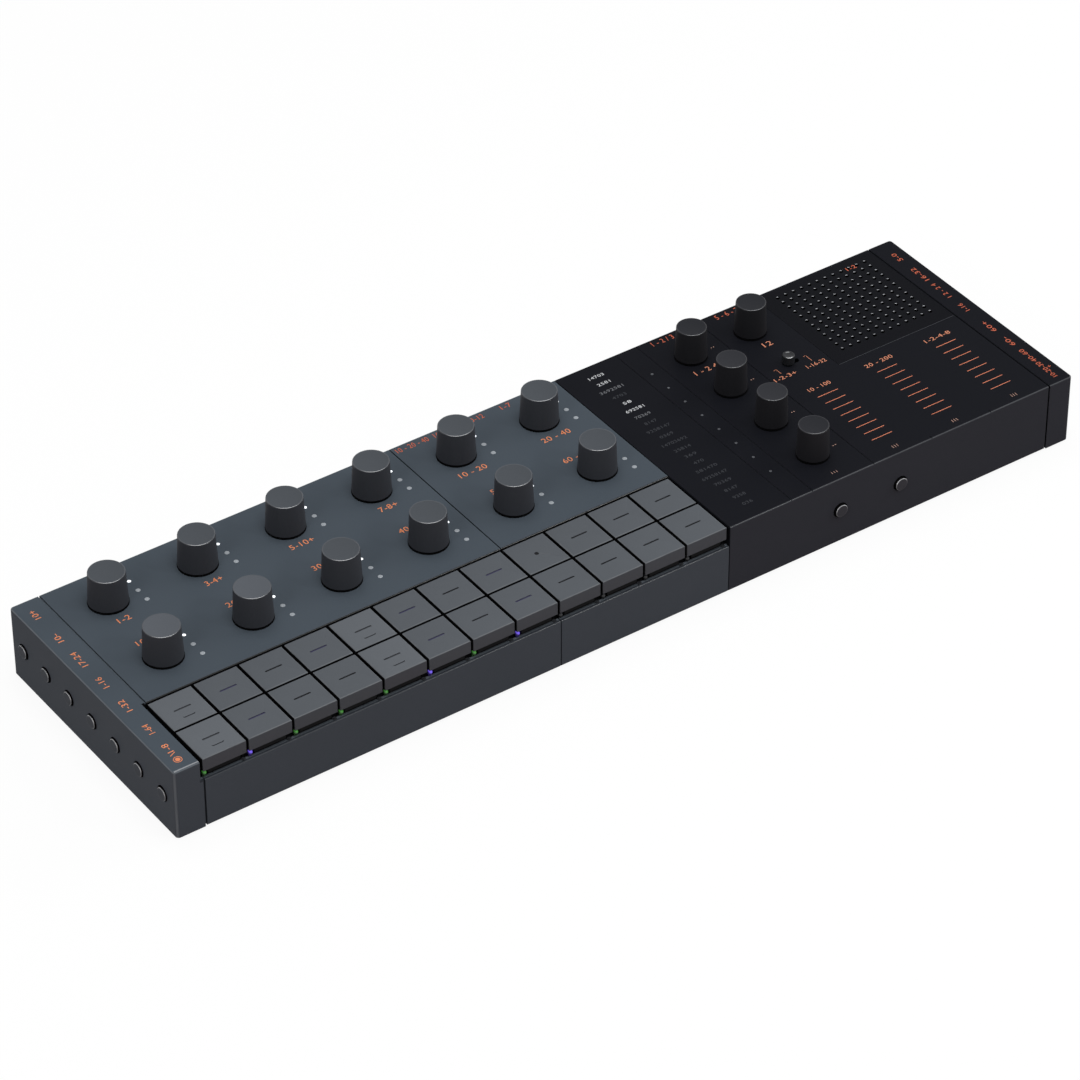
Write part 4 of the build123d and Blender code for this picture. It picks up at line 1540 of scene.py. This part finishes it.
# ---- Lamps on the panels ----
@dataclass
class PanelLamps:
    """Round lenses let into the panels, standing just proud."""

    lit_radius: float = 0.62
    track_radius: float = 0.8
    track_offset: Place = (10.4, -0.3)  # from a knob's middle to the middle one of its lamps
    track_pitch: float = 5.3
    column_radius: float = 0.47
    column_x: float = 60.25
    column_start: float = 31.8
    column_pitch: float = 9.06
    column_count: int = 8
    rise: float = 0.12

    def lens(self, radius: float) -> Shape:
        """A low dome."""
        h = self.rise
        return lathe([(0, -0.2), (radius, -0.2), (radius, 0.02), (radius * 0.8, h * 0.7), (0, h)], 16)

    def build(self, glows: dict[Glow, Material]) -> None:
        """Build the lamps beside the track knobs and the column on the sound module.

        Args:
            glows: The lamps' materials.
        """
        knobs = [middle(node) + Vector((*self.track_offset, 0)) for node in TRACK_KNOBS]
        white = [(knob.x, knob.y + self.track_pitch) for knob in knobs]
        grey = [(knob.x, knob.y - level * self.track_pitch) for knob in knobs for level in (0, 1)]
        rows = [self.column_start - i * self.column_pitch for i in range(self.column_count)]
        for name, glow, radius, places in (
            ("track_lamps_white", Glow.WHITE, self.lit_radius, white),
            ("track_lamps_grey", Glow.GREY, self.track_radius, grey),
            ("level_lamps", Glow.DIM, self.column_radius, [(self.column_x, y) for y in rows]),
        ):
            spots = [Vector((x, y, PANEL_TOP)) for x, y in places]
            shape = Repeater(name).grow(self.lens(radius), spots, glows[glow])
            piece(name, shape, [glows[glow]], "switch_plastic")


# ---- Printed marks ----
class Typeface:
    """Plain numerals and signs as thin solids, one shape for each string."""

    cap_height: float = 0.729  # of the built-in typeface at size 1
    weight: float = 0.002  # how much fatter its strokes are made
    spacing: float = 1.06

    def __init__(self) -> None:
        """Start with no string made."""
        self.made: dict[str, Shape] = {}

    def shape(self, text: str) -> Shape:
        """The string as a solid 1 long, 1 high and 1 thick about the origin.

        Args:
            text: The string.

        Returns:
            Its shape, made once.
        """
        if text not in self.made:
            curve = bpy.data.curves.new("numerals", "FONT")
            curve.body, curve.extrude, curve.resolution_u = text, 0.5, 3
            curve.space_character, curve.offset = self.spacing, self.weight
            holder = linked("numerals", curve)
            bpy.context.view_layer.update()
            shape = plain_shape(holder)
            bmesh.ops.remove_doubles(shape, verts=shape.verts, dist=HAIR)
            places = [v.co.x for v in shape.verts]
            left, right = min(places), max(places)
            shape.transform(at(-(left + right) / 2, -self.cap_height / 2, 0.5))
            shape.transform(Matrix.Diagonal((1 / (right - left), 1 / self.cap_height, 1, 1)))
            self.made[text] = shape
        return self.made[text]


@dataclass
class Sheet:
    """Marks of one ink on the panels."""

    name: str
    ink: Inks
    typeface: Typeface
    thickness: float = 0.03
    shape: Shape = field(default_factory=bmesh.new)

    def add(self, mark: Shape, x: float, y: float, turn: float = 0, size: Triple = (1, 1, 1)) -> None:
        """Add a mark about a place, turned by so many degrees after it is made larger.

        Args:
            mark: The mark.
            x: Place of its middle.
            y: The same along Y.
            turn: Turn in degrees.
            size: How many times larger it is made.
        """
        turned = Matrix.Rotation(math.radians(turn), 4, "Z") @ Matrix.Diagonal((*size, 1))
        join(self.shape, mark, at(x, y, PANEL_TOP) @ turned)

    def text(self, text: str, x: float, y: float, width: float, height: float, turn: float = 0.0) -> None:
        """Print a string of that size about a place; turn is in degrees."""
        self.add(self.typeface.shape(text), x, y, turn, (width, height, self.thickness))

    def bar(self, x: float, y: float, length: float, width: float, turn: float = 0.0) -> None:
        """Print a straight bar about a place."""
        self.add(prism(capsule(length, width, 2), 0, self.thickness), x, y, turn)

    def disc(self, x: float, y: float, radius: float) -> None:
        """Print a disc."""
        self.add(lathe([(0, 0), (radius, 0), (radius, self.thickness), (0, self.thickness)], 28), x, y)

    def ring(self, x: float, y: float, radius: float, width: float) -> None:
        """Print a ring.

        Args:
            x: Place of its middle.
            y: The same along Y.
            radius: Outer radius.
            width: Width of its line.
        """
        inner, t = radius - width, self.thickness
        shape = lathe([(inner, 0), (radius, 0), (radius, t), (inner, t), (inner, 0)], 28)
        bmesh.ops.remove_doubles(shape, verts=shape.verts, dist=HAIR)
        self.add(shape, x, y)

    def build(self, slot: str) -> None:
        """Turn the marks into a piece."""
        piece(self.name, self.shape, [self.ink.material()], slot, smooth=20)


Label = tuple[str, float, float, float]  # string, places along X and Y, length
Labels = tuple[tuple[str, float, float], ...]  # string, place along its row, length


@dataclass
class PanelPrint:
    """Numerals, signs, ticks and bars printed on the panels, and a painted highlight along the grille's front
    edge.
    """

    label: float = 2.45  # height of the knobs' labels
    end_label: float = 2.2
    small: float = 1.85
    knob_shift: float = -0.37  # of the labels, from the track knobs
    knob_labels: tuple[tuple[str, float], ...] = (
        ("1-2", 4.4), ("3-4+", 6.0), ("5-10+", 8.6), ("7-8+", 6.6), ("10 - 20", 10.2), ("20 - 40", 10.7),
        ("10-2", 6.5), ("20-3", 6.8), ("30-4+", 8.4), ("40-5+", 8.7), ("50", 3.4), ("60 - 70+", 12.1),
    )  # fmt: skip
    label_drops: dict[str, float] = field(default_factory=lambda: {"back": -9.7, "front": 9.56})
    end_x: float = 166.3
    left_labels: Labels = (
        ("10+", 39.9, 4.6), ("10-", 26.2, 4.4), ("17-24", 13.75, 7.75), ("1-16", 0.35, 5.5),
        ("1-32", -12.8, 5.8), ("1-64", -26.0, 4.8), ("1-8", -36.6, 4.3),
    )  # fmt: skip
    disc_y: float = -42.6
    disc_radius: float = 0.8
    disc_ring: Place = (1.4, 0.25)  # outer radius and width of the ring round the disc
    disc_bar: tuple[float, ...] = (2.9, 2.4, 0.26, 25)  # how far behind, length, width and turn
    right_labels: Labels = (
        ("5-0", 38.0, 4.7), ("16-32", 25.85, 8.3), ("1 2 - 2 4", 14.45, 9.2), ("1-16", 2.7, 4.6),
        ("60+", -10.5, 6.4), ("60-", -20.7, 5.3), ("40-60", -30.5, 7.9), ("10-20-30", -39.8, 9.4),
    )  # fmt: skip
    right_shift: float = -0.2  # of the right labels, from the place that mirrors the left ones
    plus_label: Label = ("+", 1.7, -39.0, 1.1)
    rear_labels: Labels = (
        ("10 - 20 - 40", -24.5, 12.1), ("16 - 32 -", -12.0, 8.4), ("10-12", -0.1, 6.0), ("1-7", 11.6, 3.9),
        ("1 - 2 / 3 - 4", 76.1, 12.6), ("5 - 6 - 7", 100.2, 9.2),
    )  # fmt: skip
    rear_y: float = 45.0
    rear_label: float = 2.4
    sound_label: Label = ("1 - 2 4", -0.2, 23.95, 8.9)  # the first place is from its knob
    effect_label: Label = ("12", 0.4, 23.65, 3.4)
    grille_label: Label = ("1-2", 149.8, 42.1, 3.9)
    dot_pair: Triple = (8.7, 0.45, 0.22)  # from a sound knob to its dots, half their distance, radius
    front_ticks: Place = (-43.7, 1.0)  # place and length of the ticks before the sound knobs
    switch_labels: Labels = (("1-2-3+", 94.75, 8.7), ("1-16-32", 107.3, 7.6))
    switch_y: float = 5.95
    switch_ticks: tuple[Place, ...] = ((10.7, 2.8), (11.3, 3.4))  # rear end and length
    slider_labels: Labels = (("10 - 100", 100.4, 8.8), ("20 - 200", 124.5, 11.0), ("1-2-4-8", 148.6, 10.2))
    slider_starts: tuple[float, ...] = (-9.2, -9.45, -9.75)  # of their first lines
    slider_pitch: float = 4.014
    slider_count: int = 8
    slider_line: Place = (8.2, 0.23)
    list_x: float = 44.65
    list_start: float = 41.18
    list_pitch: float = 4.278
    list_height: float = 1.42
    list_advance: float = 1.15  # length of each numeral
    list_lengths: tuple[float, ...] = (
        5.8, 4.9, 9.0, 5.4, 3.1, 7.0, 6.0, 4.6, 9.0, 5.1, 9.4, 6.3, 4.5, 3.8, 8.0, 9.6, 6.4, 5.0, 4.7, 3.8,
    )  # fmt: skip
    list_white: tuple[int, ...] = (1, 2, 5, 6)
    list_silver: tuple[int, ...] = (3, 7)

    def build(self) -> None:
        """Print every sheet."""
        face = Typeface()
        orange, salmon, red, lines, pale, plate, white, silver, dim = (
            Sheet(name, ink, face)
            for name, ink in (
                ("orange_marks", Inks.ORANGE_INK),
                ("salmon_marks", Inks.SALMON_INK),
                ("red_marks", Inks.RED_INK),
                ("slider_marks", Inks.LINE_INK),
                ("pale_marks", Inks.PALE_INK),
                ("plate_line", Inks.DIM_INK),
                ("white_marks", Inks.WHITE_INK),
                ("silver_marks", Inks.SILVER_INK),
                ("dim_marks", Inks.DIM_INK),
            )
        )
        self.track_labels(orange)
        self.end_labels(orange, red)
        self.sound_labels(salmon, red, pale, plate)
        self.sliders(salmon, lines, pale)
        self.listing(white, silver, dim)
        for sheet in (plate, orange, salmon, red, lines, pale, white, silver, dim):
            sheet.build("grey_shell" if sheet is orange else "black_shell")

    def track_labels(self, orange: Sheet) -> None:
        """A label beside each track knob.

        Args:
            orange: Sheet of the blue-grey panels.
        """
        for node, (text, length) in zip(TRACK_KNOBS, self.knob_labels):
            knob, drop = middle(node), self.label_drops[node.split("_")[0]]
            orange.text(text, knob.x + self.knob_shift, knob.y + drop, length, self.label)

    def end_labels(self, orange: Sheet, red: Sheet) -> None:
        """Labels of the side and rear buttons and the sockets, and the disc at the front left corner.

        Args:
            orange: Sheet of the left end.
            red: Sheet of the right end and the rear.
        """
        for text, y, length in self.left_labels:
            orange.text(text, -self.end_x, y, length, self.end_label, 90)
        behind, *bar = self.disc_bar
        orange.bar(-self.end_x, self.disc_y + behind, *bar)
        orange.disc(-self.end_x, self.disc_y, self.disc_radius)
        orange.ring(-self.end_x, self.disc_y, *self.disc_ring)
        for text, y, length in self.right_labels:
            red.text(text, self.end_x + self.right_shift, y, length, self.small, 90)
        text, shift, y, length = self.plus_label
        red.text(text, self.end_x + shift, y, length, self.small, 90)
        for text, x, length in self.rear_labels:
            red.text(text, x, self.rear_y, length, self.rear_label)

    def sound_labels(self, salmon: Sheet, red: Sheet, pale: Sheet, plate: Sheet) -> None:
        """Labels of the sound knobs, the effect knob, the switch and the grille.

        Args:
            salmon: Sheet of the labels.
            red: Sheet of the label behind the grille.
            pale: Sheet of the dots and ticks.
            plate: Sheet of the painted highlight along the grille's front edge.
        """
        first, effect = middle("sound_knob_1"), middle("effect_knob")
        for knob, (text, shift, y, length) in ((first, self.sound_label), (effect, self.effect_label)):
            salmon.text(text, knob.x + shift, y, length, self.label)
        text, x, y, length = self.grille_label
        red.text(text, x, y, length, self.small)
        reach, half, radius = self.dot_pair
        for knob in map(middle, SOUND_KNOBS):
            for side in (-half, half):
                pale.disc(knob.x + reach + side, knob.y, radius)
        self.ticks(pale, first.x, *self.front_ticks)
        for (text, x, length), (rear, tick) in zip(self.switch_labels, self.switch_ticks):
            salmon.text(text, x, self.switch_y, length, self.small)
            salmon.bar(x - 0.2, rear - tick / 2, tick, 0.15, 90)
            salmon.bar(x - 0.7, rear - 0.1, 1.2, 0.15)
        # A paler line along the grille's front edge: painted highlight.
        front = corners("speaker_grille")[0].y + 0.1
        plate.bar(middle("speaker_grille").x, front, extent("speaker_grille").x, 0.22)

    def ticks(self, pale: Sheet, x: float, y: float, length: float) -> None:
        """Three short ticks side by side."""
        for side in (-0.9, 0, 0.9):
            pale.bar(x + side, y, length, 0.2, 90)

    def sliders(self, salmon: Sheet, lines: Sheet, pale: Sheet) -> None:
        """Three ladders of lines, with a label behind and three ticks in front of each.

        Args:
            salmon: Sheet of the labels.
            lines: Sheet of the ladders.
            pale: Sheet of the ticks.
        """
        for (text, x, length), start in zip(self.slider_labels, self.slider_starts):
            salmon.text(text, x, start + 4.6, length, self.small)
            for step in range(self.slider_count):
                lines.bar(x, start - step * self.slider_pitch, *self.slider_line)
            self.ticks(pale, x + 0.1, start - 34.7, 1.4)

    def listing(self, white: Sheet, silver: Sheet, dim: Sheet) -> None:
        """The column of small numerals at the left of the sound module.

        Args:
            white: Sheet of the bright rows.
            silver: Sheet of the middling rows.
            dim: Sheet of the others.
        """
        for row, length in enumerate(self.list_lengths, start=1):
            sheet = white if row in self.list_white else silver if row in self.list_silver else dim
            y = self.list_start - (row - 1) * self.list_pitch
            text = "".join(str((row + i * 3) % 10) for i in range(int(length / self.list_advance)))
            sheet.text(text, self.list_x, y, length, self.list_height)


# ---- Shells and what they hold ----
def dress(nodes: Iterable[str], finish: Finish) -> None:
    """Give CAD nodes a better material in the slots that they have.

    Args:
        nodes: The nodes' names.
        finish: What they get.
    """
    material = finish.material()
    for name in nodes:
        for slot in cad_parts[name].material_slots:
            slot.material = material
        log.info("%s: CAD mesh, %s", name, finish.name)


@dataclass
class Shells:
    """The five shells of the case and the base cover."""

    grey: tuple[str, ...] = ("drum_case", "synth_case", "left_end_cap")
    black: tuple[str, ...] = ("sound_case", "right_end_cap")

    def build(self) -> None:
        """Dress the shells."""
        dress(self.grey, GREY_SHELL)
        dress(self.black, BLACK_SHELL)
        dress(["base_cover"], BASE_PLASTIC)


@dataclass
class Insides:
    """The board, the key mat, the loudspeaker, the battery and the sockets."""

    laminate: Colour = (24, 62, 44)
    components: Colour = (24, 24, 26)

    def build(self) -> None:
        """Dress what the case holds."""
        board = Board("board_laminate", self.laminate, self.components, corners("key_mat")[0].z)
        for node, finish in (
            ("main_board", board),
            ("key_mat", Rubber("mat_rubber", (150, 150, 150))),
            ("speaker", Rubber("speaker_cone", (30, 30, 32))),
            ("battery", Plastic("battery_wrap", (60, 92, 128), roughness=0.35, specular=0.4)),
            ("connectors", Metal("socket_metal", (168, 168, 166), 0.25)),
        ):
            dress([node], finish)


# ---- Studio ----
@dataclass(frozen=True)
class Lamp:
    """A soft light that faces the object; lengths are in metres."""

    name: str
    place: Triple
    width: float
    watts: float
    length: float = 0.0  # of a strip

    def build(self) -> None:
        """Hang the light."""
        data = bpy.data.lights.new(self.name, "AREA")
        data.energy, data.size = self.watts, self.width
        if self.length:
            data.shape, data.size_y = "RECTANGLE", self.length
        lamp = linked(self.name, data)
        lamp.location = self.place
        lamp.rotation_euler = (-Vector(self.place)).to_track_quat("-Z", "Y").to_euler()


@dataclass
class Studio:
    """Floor, soft light and camera."""

    azimuth: float = -35.040  # degrees; 0 looks along +Y
    elevation: float = 38.056
    roll: float = -0.122
    distance: float = 1575.797  # millimetres from the target
    aim: Place = (-5.337, 3.704)  # sideways and upward shift of the eye, in millimetres
    size_ratio: float = 0.9959
    focal: float = 164.902  # of a 36 mm wide sensor
    foot_height: float = 0.8
    floor_reach: float = 6.0  # metres from its middle to its edges
    floor_tone: Colour = (0.5, 0.38, 0.36)  # linear colour of the floor as the object sees it
    floor_white: float = 0.92  # share of the seen floor that takes no shadow
    sky: float = 0.31
    lamps: tuple[Lamp, ...] = (
        Lamp("soft_top", (0.0, -0.05, 1.4), 0.5, 10.5, 1.5),
        Lamp("right_fill", (1.2, -0.2, 0.47), 0.7, 5.5),
        Lamp("left_fill", (-0.98, -0.45, 0.76), 0.3, 2.4),
        Lamp("front_gleam", (0.72, -0.99, 1.03), 0.2, 2.6),
    )

    def backdrop_share(self, graph: Graph) -> Value:
        """1 for rays that see the background: from the camera, reflections and transmission.

        Args:
            graph: The tree that needs it.

        Returns:
            The share.
        """
        rays = graph.node("ShaderNodeLightPath").outputs
        seen = graph.maths("MAXIMUM", rays["Is Camera Ray"], rays["Is Glossy Ray"])
        return graph.maths("MAXIMUM", seen, rays["Is Transmission Ray"])

    def world(self) -> None:
        """Even soft light, and white where the background is seen."""
        world = bpy.data.worlds.new("studio")
        bpy.context.scene.world = world
        world.use_nodes = True
        graph = Graph(world.node_tree)
        graph.tree.nodes.clear()
        strength = self.backdrop_share(graph) * (1 - self.sky) + self.sky
        light = graph.out("ShaderNodeBackground", None, {"Color": WHITE, "Strength": strength})
        graph.node("ShaderNodeOutputWorld", None, {"Surface": light})

    def floor(self) -> None:
        """A pale floor that keeps a faint shadow."""
        surface = Surface("floor")
        seen = self.backdrop_share(surface)
        surface.finish(roughness=0.9, specular_ior_level=0.0, base_color=self.floor_tone)
        white = surface.out("ShaderNodeEmission", None, {"Color": WHITE, "Strength": 1.0})
        shadow = surface.out("ShaderNodeBsdfDiffuse", None, {"Color": WHITE})
        paper = surface.out("ShaderNodeMixShader", None, {0: self.floor_white, 1: shadow, 2: white})
        both = surface.out("ShaderNodeMixShader", None, {0: seen, 1: surface.shader.outputs[0], 2: paper})
        surface.feed(surface.output.inputs["Surface"], both)
        mesh = bpy.data.meshes.new("floor")
        r = self.floor_reach
        mesh.from_pydata([(-r, -r, 0), (r, -r, 0), (r, r, 0), (-r, r, 0)], [], [(0, 1, 2, 3)])
        mesh.materials.append(surface.material)
        linked("floor", mesh)

    def camera(self) -> None:
        """The eye, high at the front left."""
        turn, lift, roll = (math.radians(a) for a in (self.azimuth, self.elevation, self.roll))
        back = Vector((math.sin(turn) * math.cos(lift), -math.cos(turn) * math.cos(lift), math.sin(lift)))
        right = Vector((0, 0, 1)).cross(back).normalized()
        up = back.cross(right)
        right, up = right * math.cos(roll) + up * math.sin(roll), up * math.cos(roll) - right * math.sin(roll)
        eye = right * self.aim[0] + up * self.aim[1] + back * self.distance
        data = bpy.data.cameras.new("eye")
        data.lens, data.sensor_width, data.clip_end = self.focal, 36, 100
        camera = linked("eye", data)
        place = (eye * self.size_ratio + Vector((0, 0, self.foot_height))) * MM
        camera.matrix_world = at(*place) @ Matrix((right, up, back)).transposed().to_4x4()
        bpy.context.scene.camera = camera

    def build(self) -> None:
        """Build the studio."""
        bpy.context.scene.view_settings.view_transform = "Standard"
        self.world()
        self.floor()
        for lamp in self.lamps:
            lamp.build()
        self.camera()


def button_rows() -> list[ButtonRow]:
    """The four rows of side buttons, with their heads' places along the walls.

    Returns:
        The rows, not built yet.
    """
    sound, effect = middle("sound_knob_1").x, middle("effect_knob").x

    def spread(node: str, count: int) -> list[float]:
        """Heads spaced evenly over a row at an end of the case.

        Args:
            node: The row's CAD node.
            count: How many heads it has.

        Returns:
            Their places.
        """
        low, high = corners(node)
        first, last = low.y + STRIP_MARGIN, high.y - STRIP_MARGIN
        return [first + i * (last - first) / (count - 1) for i in range(count)]

    rear = [(i - 2) * 0.75 * GRID for i in range(4)]
    return [
        ButtonRow("left_buttons", Vector((-1, 0, 0)), spread("left_buttons", 7)),
        ButtonRow("right_buttons", Vector((1, 0, 0)), spread("right_buttons", 4)),
        ButtonRow("front_buttons", Vector((0, -1, 0)), [sound, effect]),
        ButtonRow("rear_buttons", Vector((0, 1, 0)), [*rear, sound, effect]),
    ]


def main() -> None:
    """Build every sub-assembly, then the studio."""
    Shells().build()
    Insides().build()
    KeyBed().build()
    glows = {glow: glow.value.material() for glow in Glow}
    KeyLamps().build(glows)
    KnobSet().build()
    # The heads' sides in black: painted shade.
    grey, black, skirt = LEFT_BUTTON.material(), BUTTON_PLASTIC.material(), PAINTED_GAP_SHADE.material()
    for row in button_rows():
        row.build(grey if row.node == "left_buttons" else black, skirt)
    ModeSwitch().build()
    Grille().build()
    PanelLamps().build(glows)
    PanelPrint().build()
    Underside().build()
    Studio().build()


if __name__ == "__main__":
    logging.basicConfig(level=logging.INFO, format="%(name)s: %(message)s")
    main()
